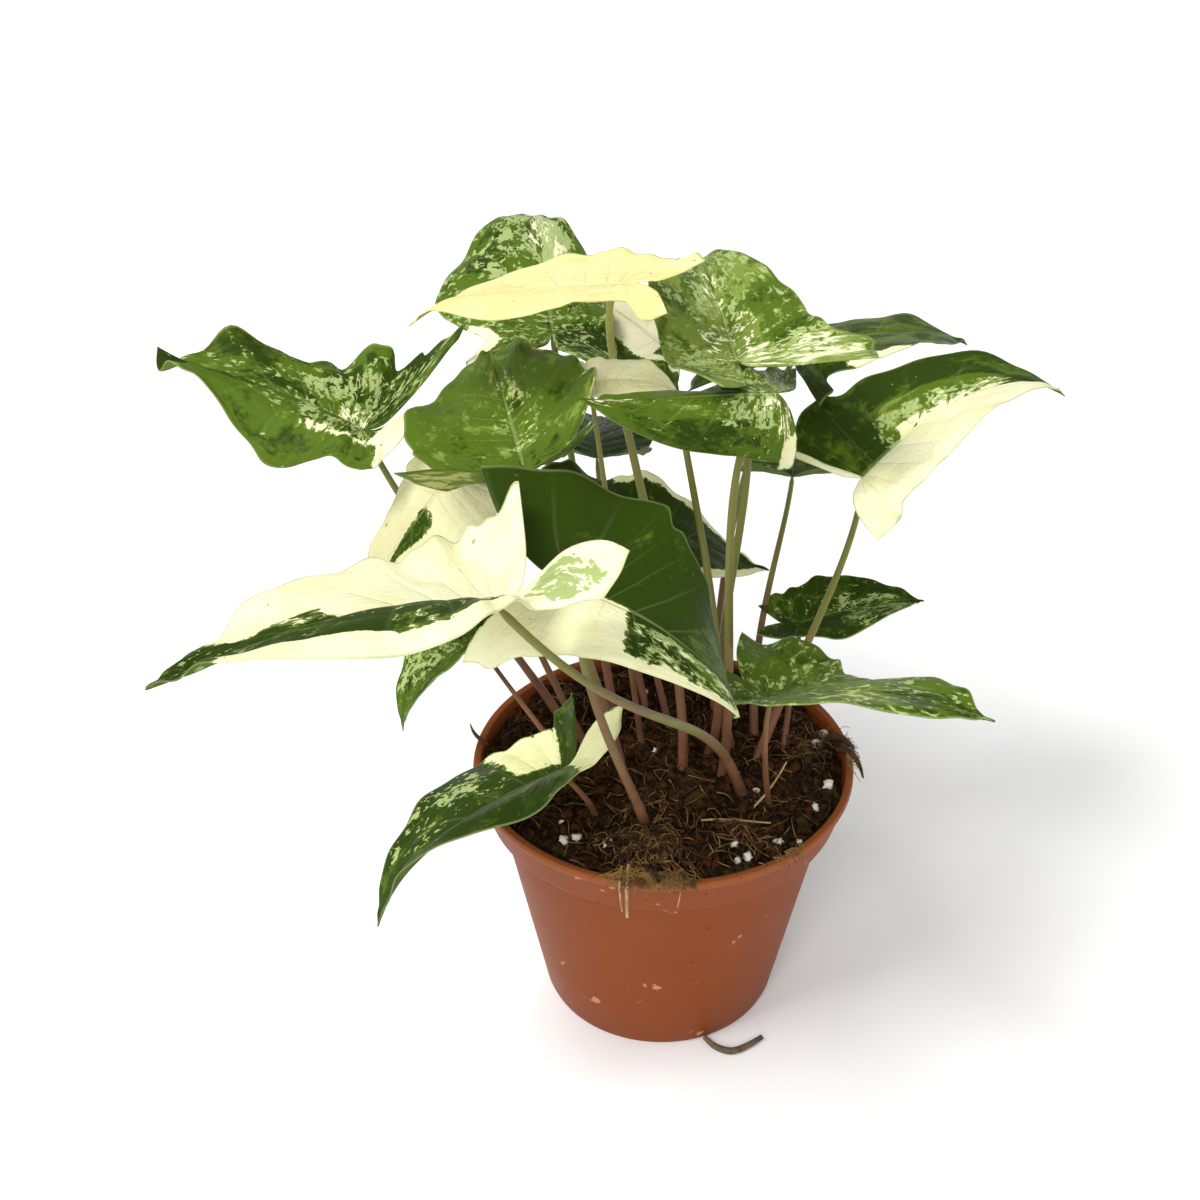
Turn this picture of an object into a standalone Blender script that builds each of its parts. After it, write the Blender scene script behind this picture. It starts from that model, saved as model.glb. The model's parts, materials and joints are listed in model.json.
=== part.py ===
"""Variegated arrowhead plant in a terracotta-coloured nursery pot.

Metres, Z up. The origin is the middle of the pot's flat base.
The front of the plant faces -Y.
"""
import math
import bpy
import bmesh
import numpy as np

MM = 0.001
NAME = "arrowhead_plant"

# pot, mm
POT_HEIGHT = 88.0
RIM_RADIUS = 60.0
RIM_BAND = 14.0
BAND_LOW_RADIUS = 56.0
BODY_TOP_RADIUS = 52.0
BASE_RADIUS = 37.5
WALL = 1.3
FLOOR = 1.6
LIP = 2.4
POT_SIDES = 44
DRAIN_COUNT = 6
DRAIN_RADIUS = 4.0
DRAIN_CIRCLE = 24.0

# soil, mm
SOIL_GAP = 0.55
SOIL_EDGE = 82.5
SOIL_MOUND = 3.0
SOIL_LUMP = 1.6
SOIL_RINGS = 8
SOIL_SIDES = 44

# leaves, mm
BLADE_THICK = 0.7
BLADE_ROWS = 11
BLADE_COLUMNS = 3
STEM_SIDES = 6
STEM_STEPS = 9
STEM_DEPTH = 9.0
HOLE_GAP = 0.4
BLADE_GAP = 0.75

# A leaf: where the stem meets the blade (mm), length to the tip (mm), then angles in degrees.
# heading turns from +X to +Y, pitch lifts the tip, roll lifts the left side,
# arch bends the rib down along its length, tip turns the last quarter, droop lowers the back lobes
# and a negative one lifts them.
# left and right halves: widest point, width at the stem, back lobe length, back lobe spread
# (all as parts of the length), fold at the rib, curl towards the margin, margin wave (mm).
# stem: two points it bends through, then its place on the soil; thick: radius at the top and the soil.
LEAVES = {
    "far_left": dict(
        at=(-90, 14, 197), length=66, heading=174, pitch=26, roll=11,
        arch=25, tip=-10, twist=6, droop=-58, phase=41,
        left=(0.35, 0.36, 0.38, 0.16, 21, -109, 5.6), right=(0.31, 0.4, 0.39, 0.36, 32, 10, 3.6),
        stem=((-74, 15, 153), (-44, 19, 113), (-28, 16)), thick=(1.1, 1.7)),
    "front_left": dict(
        at=(-42, -93, 208), length=90, heading=205, pitch=14, roll=31,
        arch=35, tip=17, twist=11, droop=-53, phase=2,
        left=(0.33, 0.22, 0.36, 0.44, 13, -51, 3.2), right=(0.31, 0.43, 0.29, 0.25, 14, 17, 0.4),
        stem=((-1, -94, 156), (13, -26, 138), (26, -13)), thick=(1.3, 1.9)),
    "centre_low": dict(
        at=(-24, -68, 196), length=67, heading=324, pitch=6, roll=24,
        arch=113, tip=-11, twist=34, droop=-35, phase=-14,
        left=(0.51, 0.6, 0.63, 0.24, -18, 4, 0.3), right=(0.27, 0.35, 0.32, 0.53, 22, -61, -0.7),
        stem=((-24, -68, 158), (-4, -54, 112), (-5, -26)), thick=(1.2, 1.9)),
    "centre_high": dict(
        at=(-40, -25, 208), length=63, heading=106, pitch=18, roll=-10,
        arch=34, tip=0, twist=10, droop=-54, phase=85,
        left=(0.48, 0.3, 0.47, 0.54, 5, 1, -2.1), right=(0.43, 0.18, 0.39, 0.34, 11, 21, -1.4),
        stem=((-32, -22, 164), (-14, -16, 118), (-11, -12)), thick=(1.2, 1.8)),
    "back_high": dict(
        at=(-37, 60, 207), length=78, heading=98, pitch=20, roll=3,
        arch=29, tip=-32, twist=3, droop=-30, phase=29,
        left=(0.46, 0.26, 0.41, 0.36, 8, -30, 0.8), right=(0.27, 0.28, 0.4, 0.17, -1, -45, 2.5),
        stem=((-30, 45, 164), (-21, 28, 118), (-14, 14)), thick=(1.2, 1.7)),
    "cream_top": dict(
        at=(-14, -4, 253), length=64, heading=169, pitch=-7, roll=11,
        arch=16, tip=-24, twist=-2, droop=-6, phase=-47,
        left=(0.37, 0.2, 0.29, 0.42, 8, -33, 2.7), right=(0.4, 0.35, 0.33, 0.18, 2, 12, 0.9),
        stem=((-30, 37, 228), (10, -7, 146), (6, -4)), thick=(1.2, 1.8)),
    "small_cream": dict(
        at=(-23, 0, 221), length=27, heading=354, pitch=13, roll=6,
        arch=42, tip=-21, twist=-3, droop=10, phase=89,
        left=(0.36, 0.27, 0.22, 0.3, 16, -9, 1.4), right=(0.33, 0.28, 0.22, 0.3, 8, -15, -0.0),
        stem=((-17, 3, 174), (-11, 5, 122), (-6, 8)), thick=(0.8, 1.2)),
    "top_right": dict(
        at=(18, 5, 226), length=72, heading=101, pitch=16, roll=-7,
        arch=38, tip=-7, twist=-4, droop=-26, phase=59,
        left=(0.32, 0.29, 0.44, 0.12, 22, 2, -3.3), right=(0.3, 0.41, 0.43, 0.49, 18, -7, 1.6),
        stem=((33, 9, 183), (6, 9, 126), (24, 8)), thick=(1.2, 1.7)),
    "mid_right": dict(
        at=(29, -14, 226), length=59, heading=203, pitch=9, roll=-9,
        arch=5, tip=15, twist=3, droop=5, phase=44,
        left=(0.31, 0.36, 0.15, 0.43, -34, -74, -0.6), right=(0.2, 0.32, 0.34, 0.45, -27, 19, 2.3),
        stem=((9, 4, 200), (24, -14, 133), (18, -6)), thick=(1.2, 1.8)),
    "back_right": dict(
        at=(40, 62, 201), length=74, heading=37, pitch=-2, roll=-6,
        arch=26, tip=-8, twist=-2, droop=15, phase=71,
        left=(0.34, 0.28, 0.42, 0.3, 8, -31, 3.1), right=(0.31, 0.24, 0.27, 0.43, 6, -12, -2.3),
        stem=((25, 88, 165), (14, 50, 115), (17, 24)), thick=(0.9, 1.6)),
    "right": dict(
        at=(56, 7, 188), length=88, heading=42, pitch=26, roll=-11,
        arch=59, tip=-8, twist=-5, droop=-4, phase=36,
        left=(0.31, 0.3, 0.07, 0.29, 17, 6, 1.8), right=(0.26, 0.29, 0.25, 0.38, 11, -1, -1.3),
        stem=((59, 19, 152), (34, 9, 107), (28, -2)), thick=(1, 1.8)),
    "behind_right": dict(
        at=(38, 37, 171), length=48, heading=85, pitch=-5, roll=-1,
        arch=24, tip=2, twist=0, droop=-29, phase=47,
        left=(0.38, 0.32, 0.48, 0.25, 11, -12, -0.1), right=(0.38, 0.32, 0.48, 0.27, 13, -9, -0.3),
        stem=((39, 68, 127), (25, 31, 113), (30, 12)), thick=(0.9, 1.6)),
    "low_right": dict(
        at=(43, 31, 120), length=42, heading=16, pitch=11, roll=0,
        arch=21, tip=1, twist=-3, droop=-23, phase=85,
        left=(0.38, 0.27, 0.28, 0.17, 15, 5, 1.1), right=(0.36, 0.25, 0.43, 0.22, 15, -15, 0.8),
        stem=((41, 23, 106), (39, 13, 92), (38, 6)), thick=(0.8, 1.2)),
    "front_right": dict(
        at=(31, -31, 135), length=78, heading=326, pitch=33, roll=-21,
        arch=36, tip=16, twist=-2, droop=-47, phase=92,
        left=(0.3, 0.46, 0.42, 0.23, 5, 3, 3.7), right=(0.34, 0.18, 0.22, 0.07, 3, -7, -1.0),
        stem=((29, -24, 122), (31, -24, 94), (34, -16)), thick=(0.9, 1.2)),
    "low_left": dict(
        at=(-30, -38, 112), length=72, heading=206, pitch=-9, roll=30,
        arch=39, tip=-16, twist=-3, droop=-44, phase=77,
        left=(0.33, 0.34, 0.38, 0.3, 19, -41, 3.0), right=(0.39, 0.25, 0.29, 0.27, 20, -1, 2.4),
        stem=((-25, -35, 102), (-20, -28, 92), (-20, -25)), thick=(0.8, 1.2)),
    "under_left": dict(
        at=(-58, 0, 132), length=39, heading=202, pitch=-25, roll=2,
        arch=55, tip=-7, twist=4, droop=10, phase=-10,
        left=(0.33, 0.28, 0.42, 0.3, 19, 15, 0.3), right=(0.36, 0.28, 0.42, 0.3, 19, 3, -1.7),
        stem=((-47, -2, 114), (-34, -4, 95), (-24, -6)), thick=(0.8, 1.2)),
    "inner_left": dict(
        at=(-63, 0, 190), length=46, heading=211, pitch=-43, roll=-15,
        arch=27, tip=-6, twist=0, droop=10, phase=55,
        left=(0.46, 0.36, 0.28, 0.3, 0, -30, -1.4), right=(0.32, 0.29, 0.28, 0.3, 7, -23, 2.4),
        stem=((-49, 2, 153), (-34, 4, 113), (-22, 6)), thick=(0.9, 1.5)),
    "behind_dark": dict(
        at=(-24, 78, 153), length=57, heading=92, pitch=-6, roll=4,
        arch=23, tip=2, twist=0, droop=-24, phase=55,
        left=(0.33, 0.28, 0.42, 0.2, 14, -5, -0.6), right=(0.33, 0.28, 0.42, 0.24, 14, -4, -0.6),
        stem=((-22, 74, 124), (-10, 34, 106), (-4, 22)), thick=(0.9, 1.4)),
    "behind_low": dict(
        at=(-15, 26, 160), length=58, heading=18, pitch=-22, roll=11,
        arch=27, tip=30, twist=5, droop=11, phase=76,
        left=(0.35, 0.33, 0.42, 0.3, 7, 8, -2.5), right=(0.34, 0.28, 0.42, 0.3, 4, -21, 0.0),
        stem=((-9, 22, 133), (-2, 18, 104), (4, 14)), thick=(0.9, 1.4)),
    "behind_cream": dict(
        at=(0, 67, 197), length=43, heading=138, pitch=18, roll=-27,
        arch=34, tip=-3, twist=0, droop=7, phase=44,
        left=(0.37, 0.16, 0.3, 0.3, 8, -16, -0.3), right=(0.33, 0.28, 0.3, 0.3, 8, -15, 0.0),
        stem=((3, 45, 172), (24, -30, 140), (14, 10)), thick=(1.1, 1.7)),
}

STRAY_ROOT = [(15.5, -35.3), (18.9, -39.2), (24.0, -41.0), (29.0, -38.6), (34.0, -34.4)]
STRAY_ROOT_RADIUS = 1.2

# surface colours, linear
TERRACOTTA = (0.33, 0.092, 0.031)
PEAT = (0.028, 0.016, 0.009)
CREAM = (0.93, 0.90, 0.62)
BUTTER = (0.90, 0.83, 0.38)
GREEN = (0.045, 0.125, 0.014)
MOTTLED = (0.13, 0.22, 0.055)
STALK = (0.21, 0.15, 0.06)
ROOT_GREY = (0.20, 0.15, 0.10)
BLADE_COLOUR = {
    "front_left": CREAM, "cream_top": BUTTER, "small_cream": CREAM, "inner_left": CREAM,
    "behind_cream": CREAM, "far_left": MOTTLED, "back_high": MOTTLED, "top_right": MOTTLED,
    "low_left": MOTTLED, "front_right": MOTTLED, "low_right": MOTTLED, "under_left": MOTTLED,
}


def clear_scene():
    for item in list(bpy.data.objects):
        bpy.data.objects.remove(item, do_unlink=True)


def new_collection(name):
    group = bpy.data.collections.new(name)
    bpy.context.scene.collection.children.link(group)
    return group


def material(name, colour, roughness):
    mat = bpy.data.materials.new(name)
    mat.use_nodes = True
    shader = mat.node_tree.nodes["Principled BSDF"]
    shader.inputs["Base Color"].default_value = (*colour, 1.0)
    shader.inputs["Roughness"].default_value = roughness
    return mat


def add_object(name, mesh, group, mat=None):
    obj = bpy.data.objects.new(name, mesh)
    group.objects.link(obj)
    if mat is not None:
        mesh.materials.append(mat)
    return obj


def apply_modifiers(obj):
    deps = bpy.context.evaluated_depsgraph_get()
    mesh = bpy.data.meshes.new_from_object(obj.evaluated_get(deps))
    obj.modifiers.clear()
    old = obj.data
    obj.data = mesh
    bpy.data.meshes.remove(old)


def weld(obj, distance=0.00001):
    bm = bmesh.new()
    bm.from_mesh(obj.data)
    bmesh.ops.remove_doubles(bm, verts=bm.verts, dist=distance)
    bmesh.ops.dissolve_degenerate(bm, edges=bm.edges, dist=distance)
    bmesh.ops.recalc_face_normals(bm, faces=bm.faces)
    bm.to_mesh(obj.data)
    bm.free()


def triangulate(obj):
    bm = bmesh.new()
    bm.from_mesh(obj.data)
    bmesh.ops.triangulate(bm, faces=bm.faces)
    bmesh.ops.recalc_face_normals(bm, faces=bm.faces)
    bm.to_mesh(obj.data)
    bm.free()


def turned(name, profile, sides, group, mat):
    """A body turned about Z from a profile of (radius, height) in mm."""
    mesh = bpy.data.meshes.new(name)
    points = [(r * MM, 0.0, z * MM) for r, z in profile]
    edges = [(i, i + 1) for i in range(len(points) - 1)]
    mesh.from_pydata(points, edges, [])
    obj = add_object(name, mesh, group, mat)
    screw = obj.modifiers.new("turn", "SCREW")
    screw.axis = "Z"
    screw.angle = 2.0 * math.pi
    screw.steps = sides
    screw.render_steps = sides
    screw.use_merge_vertices = True
    screw.merge_threshold = 0.0001
    screw.use_normal_calculate = True
    apply_modifiers(obj)
    weld(obj)
    return obj


def cut(obj, tool):
    boolean = obj.modifiers.new("cut", "BOOLEAN")
    boolean.operation = "DIFFERENCE"
    boolean.solver = "EXACT"
    boolean.operand_type = "COLLECTION"
    boolean.collection = tool
    apply_modifiers(obj)


def outer_radius(height):
    """The pot's outer radius under the rim band."""
    top = POT_HEIGHT - RIM_BAND - 2.0
    return BASE_RADIUS + (BODY_TOP_RADIUS - BASE_RADIUS) * height / top


def pot_profile():
    band = POT_HEIGHT - RIM_BAND
    step = band - 2.0
    outer = [
        (RIM_RADIUS - LIP, POT_HEIGHT), (RIM_RADIUS - 0.5, POT_HEIGHT),
        (RIM_RADIUS, POT_HEIGHT - 0.7), (RIM_RADIUS - 0.2, POT_HEIGHT - 2.6),
        (RIM_RADIUS - 0.9, POT_HEIGHT - 3.4), (BAND_LOW_RADIUS, band + 0.6),
        (BAND_LOW_RADIUS - 0.6, band), (BODY_TOP_RADIUS, step),
        (outer_radius(2.0) - 0.2, 2.0), (BASE_RADIUS - 1.4, 0.0), (0.0, 0.0),
    ]
    inner = [
        (0.0, FLOOR), (outer_radius(FLOOR) - WALL - 1.6, FLOOR),
        (outer_radius(FLOOR + 2.0) - WALL, FLOOR + 2.0), (BODY_TOP_RADIUS - WALL, step),
        (BAND_LOW_RADIUS - WALL - 0.5, band + 0.6), (RIM_RADIUS - LIP - 0.2, POT_HEIGHT - 1.2),
    ]
    return inner + outer


def make_pot(group, tools):
    mat = material("pot_plastic", TERRACOTTA, 0.45)
    pot = turned("pot", pot_profile(), POT_SIDES, group, mat)
    for k in range(DRAIN_COUNT):
        turn = 2.0 * math.pi * (k + 0.5) / DRAIN_COUNT
        bpy.ops.mesh.primitive_cylinder_add(
            vertices=12, radius=DRAIN_RADIUS * MM, depth=6.0 * MM,
            location=(DRAIN_CIRCLE * MM * math.cos(turn), DRAIN_CIRCLE * MM * math.sin(turn), FLOOR * MM / 2))
        take(bpy.context.object, tools)
    cut(pot, tools)
    return pot


def take(obj, group):
    """Move a new object into a collection and hide it as a cutter."""
    for old in list(obj.users_collection):
        old.objects.unlink(obj)
    group.objects.link(obj)
    obj.hide_render = True
    obj.display_type = "WIRE"


def clear_collection(group):
    for item in list(group.objects):
        bpy.data.objects.remove(item, do_unlink=True)


def soil_height(x, y):
    r = math.hypot(x, y) / RIM_RADIUS
    mound = SOIL_MOUND * (1.0 - r * r)
    lump = math.sin(0.19 * x + 1.1) * math.cos(0.23 * y - 0.4)
    lump += 0.6 * math.sin(0.41 * x - 0.33 * y + 2.0)
    return SOIL_EDGE + mound + SOIL_LUMP * lump * 0.5


def make_soil(group, tools, holes):
    mat = material("potting_soil", PEAT, 0.95)
    band = POT_HEIGHT - RIM_BAND
    step = band - 2.0
    gap = SOIL_GAP + WALL
    rim = BAND_LOW_RADIUS - gap - 0.5 + (SOIL_EDGE - band - 0.6) * 0.17
    top = [(rim * k / SOIL_RINGS, SOIL_EDGE) for k in range(SOIL_RINGS + 1)]
    side = [
        (BAND_LOW_RADIUS - gap - 0.5, band + 0.6), (BODY_TOP_RADIUS - gap, step),
        (outer_radius(FLOOR + 2.0) - gap - 0.2, FLOOR + 2.3),
        (outer_radius(FLOOR) - gap - 2.0, FLOOR + 0.3), (0.0, FLOOR + 0.3),
    ]
    soil = turned("soil", top + side, SOIL_SIDES, group, mat)
    for vertex in soil.data.vertices:
        if abs(vertex.co.z - SOIL_EDGE * MM) < 0.00001:
            vertex.co.z = soil_height(vertex.co.x / MM, vertex.co.y / MM) * MM
    triangulate(soil)
    clear_collection(tools)
    for path, radii in holes:
        wide = [r + HOLE_GAP for r in radii]
        drill = tube("hole", path, wide, tools, None)
        drill.hide_render = True
        drill.display_type = "WIRE"
    cut(soil, tools)
    weld(soil, 0.000002)
    triangulate(soil)
    return soil


def tube(name, path, radii, group, mat, sides=STEM_SIDES):
    """A round stem along a path, in mm, lofted ring by ring with flat ends."""
    path = np.array(path, float)
    bm = bmesh.new()
    rings = []
    side = np.array((1.0, 0.0, 0.0))
    for i, centre in enumerate(path):
        along = path[min(i + 1, len(path) - 1)] - path[max(i - 1, 0)]
        along = along / np.linalg.norm(along)
        side = side - along * side.dot(along)
        side = side / np.linalg.norm(side)
        other = np.cross(along, side)
        ring = []
        for k in range(sides):
            turn = 2.0 * math.pi * k / sides
            spot = centre + radii[i] * (math.cos(turn) * side + math.sin(turn) * other)
            ring.append(bm.verts.new(spot * MM))
        rings.append(ring)
    for low, high in zip(rings[:-1], rings[1:]):
        for k in range(sides):
            n = (k + 1) % sides
            bm.faces.new((low[k], low[n], high[n], high[k]))
    bm.faces.new(rings[0][::-1])
    bm.faces.new(rings[-1])
    bmesh.ops.recalc_face_normals(bm, faces=bm.faces)
    bmesh.ops.triangulate(bm, faces=bm.faces)
    mesh = bpy.data.meshes.new(name)
    bm.to_mesh(mesh)
    bm.free()
    return add_object(name, mesh, group, mat)


def curve_through(points, s):
    """A smooth curve through evenly spaced control points, s from 0 to 1."""
    pts = np.array(points, float)
    pts = np.vstack([2 * pts[0] - pts[1], pts, 2 * pts[-1] - pts[-2]])
    spans = len(pts) - 3
    a = np.clip(s, 0.0, 1.0) * spans
    i = np.minimum(a.astype(int), spans - 1)
    f = (a - i)[..., None]
    p0, p1, p2, p3 = pts[i], pts[i + 1], pts[i + 2], pts[i + 3]
    even = 2 * p1 + (p2 - p0) * f + (2 * p0 - 5 * p1 + 4 * p2 - p3) * f ** 2
    return 0.5 * (even + (3 * p1 - p0 - 3 * p2 + p3) * f ** 3)


def margin(half):
    """Margin of a half blade from the back lobe's end to the tip, in lengths."""
    belly, waist, lobe, spread = half[:4]
    return [
        (spread, -lobe), ((spread + waist) / 2 + 0.05, -0.58 * lobe), (waist, -0.05),
        ((waist + 2 * belly) / 3, 0.10), (belly, 0.25), (0.80 * belly, 0.50),
        (0.42 * belly, 0.77), (0.10 * belly, 0.93), (0.0, 1.0),
    ]


def swept(angles, step):
    """Points along a bent line, from its angle at even steps."""
    mid = (angles[1:] + angles[:-1]) / 2
    along = np.concatenate([[0.0], np.cumsum(np.cos(mid) * step)])
    up = np.concatenate([[0.0], np.cumsum(np.sin(mid) * step)])
    return along, up


def blade_point(leaf, side, s, t):
    """Middle surface of a blade in mm; s runs lobe to tip, t rib to margin."""
    length = leaf["length"]
    half = leaf["left"] if side < 0 else leaf["right"]
    fold, curl, wave = half[4:]
    edge = curve_through(margin(half), s)
    rib = np.clip((s - 0.25) / 0.75, 0.0, 1.0) ** 1.7
    u = t * edge[..., 0] - 0.085 * np.sin(math.pi * t) * np.clip(1.0 - s / 0.25, 0.0, 1.0)
    u = np.maximum(u, 0.012 * t) * length
    v = (rib + t * (edge[..., 1] - rib)) * length
    a = np.linspace(0.0, 1.0, 60)
    lean = -math.radians(leaf["arch"]) * a ** 1.4
    lean = lean + math.radians(leaf["tip"]) * np.clip((a - 0.72) / 0.28, 0.0, 1.0)
    run, rise = swept(lean, length / 59)
    ahead = np.clip(v / length, 0.0, 1.0)
    behind = np.clip(-v / length, 0.0, 1.0)
    droop = 1.12 * math.radians(leaf["droop"]) * np.clip(a / 0.10, 0.0, 1.0)
    away, drop = swept(droop, length / 59)
    y = np.interp(ahead, a, run) - np.interp(behind, a, away)
    z = np.interp(ahead, a, rise) - np.interp(behind, a, drop)
    lean = np.interp(ahead, a, lean)
    across = np.linspace(0.0, 0.6 * length, 60)
    bend = np.radians(fold + curl * across / (0.35 * length))
    wide, high = swept(bend, across[1])
    x = np.interp(u, across, wide) * side
    h = np.interp(u, across, high)
    turn = math.radians(leaf["twist"]) * ahead
    x, h = x * np.cos(turn) - h * np.sin(turn), x * np.sin(turn) + h * np.cos(turn)
    ripple = np.sin(4.0 * math.pi * (s - 0.25) + math.radians(leaf["phase"]))
    lift = wave * ripple * t ** 2 * np.clip(u / (0.25 * length), 0.0, 1.0)
    y = y - np.sin(lean) * h
    z = z + np.cos(lean) * h + lift
    right, forward, up = leaf_axes(leaf)
    spot = x[..., None] * right + y[..., None] * forward + z[..., None] * up
    return np.array(leaf["at"]) + spot


def leaf_axes(leaf):
    heading = math.radians(leaf["heading"])
    pitch = math.radians(leaf["pitch"])
    roll = math.radians(leaf["roll"])
    forward = np.array((
        math.cos(heading) * math.cos(pitch), math.sin(heading) * math.cos(pitch), math.sin(pitch)))
    right = np.array((math.sin(heading), -math.cos(heading), 0.0))
    up = np.cross(right, forward)
    return (
        right * math.cos(roll) - up * math.sin(roll), forward,
        up * math.cos(roll) + right * math.sin(roll))


def make_blade(name, leaf, group, mat):
    rows = np.linspace(0.0, 1.0, BLADE_ROWS)
    columns = np.linspace(0.0, 1.0, BLADE_COLUMNS + 1)
    bm = bmesh.new()
    for side in (-1, 1):
        s, t = np.meshgrid(rows, columns, indexing="ij")
        spots = blade_point(leaf, side, s, t) * MM
        grid = [[bm.verts.new(p) for p in row] for row in spots]
        for i in range(BLADE_ROWS - 1):
            for j in range(BLADE_COLUMNS):
                face = [grid[i][j], grid[i + 1][j], grid[i + 1][j + 1], grid[i][j + 1]]
                bm.faces.new(face if side > 0 else face[::-1])
    bmesh.ops.remove_doubles(bm, verts=bm.verts, dist=0.00003)
    bmesh.ops.dissolve_degenerate(bm, edges=bm.edges, dist=0.00003)
    bmesh.ops.triangulate(bm, faces=bm.faces)
    bmesh.ops.recalc_face_normals(bm, faces=bm.faces)
    mesh = bpy.data.meshes.new(name)
    bm.to_mesh(mesh)
    bm.free()
    blade = add_object(name, mesh, group, mat)
    shell = blade.modifiers.new("thickness", "SOLIDIFY")
    shell.thickness = BLADE_THICK * MM
    shell.offset = 0.0
    shell.use_even_offset = True
    shell.thickness_clamp = 1.0
    apply_modifiers(blade)
    triangulate(blade)
    return blade


def stem_path(leaf):
    """Path in mm from under the blade down into the soil, with a radius at each step."""
    up = leaf_axes(leaf)[2]
    first, second, foot = leaf["stem"]
    top, low = leaf["thick"]
    ends = [
        np.array(leaf["at"]) - up * (BLADE_THICK / 2 + BLADE_GAP), np.array(first, float),
        np.array(second, float), np.array((*foot, SOIL_EDGE - 2.0))]
    path = []
    radii = []
    for k in range(STEM_STEPS + 1):
        t = k / STEM_STEPS
        spot = (1 - t) ** 3 * ends[0] + 3 * (1 - t) ** 2 * t * ends[1]
        spot = spot + 3 * (1 - t) * t * t * ends[2] + t ** 3 * ends[3]
        path.append(spot)
        radii.append(top + (low - top) * t)
    path.append(path[-1] - np.array((0.0, 0.0, STEM_DEPTH)))
    radii.append(low)
    radii[0] = 0.45
    return path, radii


def make_leaves(group):
    green = (GREEN, 0.34)
    holes = []
    for name, leaf in LEAVES.items():
        colour = BLADE_COLOUR.get(name, green[0])
        make_blade("blade_" + name, leaf, group, material("blade_" + name, colour, green[1]))
        path, radii = stem_path(leaf)
        tube("stem_" + name, path, radii, group, material("stem_" + name, STALK, 0.5))
        end = path[-1] - np.array((0.0, 0.0, HOLE_GAP))
        holes.append((path + [end], radii + [radii[-1]]))
    return holes


def make_stray_root(group):
    mat = material("dry_root", ROOT_GREY, 0.8)
    s = np.linspace(0.0, 1.0, 11)
    path = curve_through(STRAY_ROOT, s)
    lift = STRAY_ROOT_RADIUS + 0.05
    path = np.column_stack([path, np.full(len(path), lift)])
    radii = [STRAY_ROOT_RADIUS * (0.75 + 0.25 * math.sin(math.pi * k)) for k in s]
    return tube("stray_root", path, radii, group, mat, 8)


def main():
    clear_scene()
    group = new_collection(NAME)
    tools = new_collection("cutters")
    tools.hide_render = True
    make_pot(group, tools)
    holes = make_leaves(group)
    make_soil(group, tools, holes)
    clear_collection(tools)
    make_stray_root(group)


main()
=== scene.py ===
"""Variegated arrowhead plant in a terracotta-coloured nursery pot.

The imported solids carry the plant. This script puts finely shaped blades, stalks,
pot and soil over them. Metres, Z up; the front of the plant faces -Y.
"""
import json
import math
import random
import bpy
import numpy as np
from mathutils import Matrix, Vector, noise


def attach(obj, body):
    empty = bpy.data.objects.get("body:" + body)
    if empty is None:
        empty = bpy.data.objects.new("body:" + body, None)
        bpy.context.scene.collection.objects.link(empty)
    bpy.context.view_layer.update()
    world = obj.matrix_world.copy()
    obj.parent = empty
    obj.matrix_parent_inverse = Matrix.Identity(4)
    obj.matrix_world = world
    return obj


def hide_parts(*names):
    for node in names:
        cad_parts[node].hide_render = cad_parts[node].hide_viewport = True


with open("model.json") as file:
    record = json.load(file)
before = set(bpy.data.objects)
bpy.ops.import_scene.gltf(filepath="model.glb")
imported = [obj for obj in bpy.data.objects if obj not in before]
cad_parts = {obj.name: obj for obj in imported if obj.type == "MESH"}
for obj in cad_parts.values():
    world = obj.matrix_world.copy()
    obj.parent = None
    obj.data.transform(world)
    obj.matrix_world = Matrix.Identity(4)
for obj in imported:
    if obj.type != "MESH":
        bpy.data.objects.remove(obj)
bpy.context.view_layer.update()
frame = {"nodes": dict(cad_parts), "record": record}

MM = 0.001

# pot: mm and counts
POT_HEIGHT = 88.0
RIM_RADIUS = 60.0
RIM_BAND = 14.0
BAND_STEP = 2.0
BAND_LOW_RADIUS = 56.0
BODY_TOP_RADIUS = 52.0
BASE_RADIUS = 37.5
WALL = 1.3
FLOOR = 1.6
LIP = 2.4
POT_SIDES = 160
DRAIN_COUNT = 6
DRAIN_RADIUS = 4.0
DRAIN_CIRCLE = 24.0

# soil: mm and counts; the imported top, the loose layer over it and a clod of coir at the front
SOIL_EDGE = 82.5
SOIL_MOUND = 3.0
SOIL_LUMP = 1.6
SOIL_COVER = 2.2
SOIL_SHEET = 0.8
CLOD = (-2.0, -47.0)
CLOD_HEIGHT = 3.0
CLOD_REACH = 13.0
SOIL_REACH = 57.2
SOIL_CELLS = 170
CRUMB_COUNT = 1100
FIBRE_COUNT = 520
RIM_FIBRE_COUNT = 170
FIBRE_RADIUS = 0.2
DARK_FIBRE_RADIUS = 0.24
STRAW_RADIUS = 0.62
BARK_RADIUS = 1.1

# leaves and stalks: mm, counts and shares
BLADE_THICK = 0.42
BLADE_ROWS = 84
BLADE_COLUMNS = 26
VEIN_PAIRS = 10
VEIN_SWELL = 0.32
RIB_GROOVE = 0.3
RUFFLE = 0.9
DENT = 0.9
SCALLOP = 0.035
LOBE_SHARE = 0.25
BEND_POINTS = 60
USUAL_LENGTH = 70.0
USUAL_CRUMPLE = 0.6
STALK_STEPS = 44
STALK_SLIM = 0.84
STALK_GAP = 0.7
STALK_SINK = 2.0
NECK_LENGTH = 3.5
NECK_SLIM = 0.45
SHEATH_SWELL = 0.16
SHEATH_HEIGHT = 26.0

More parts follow.
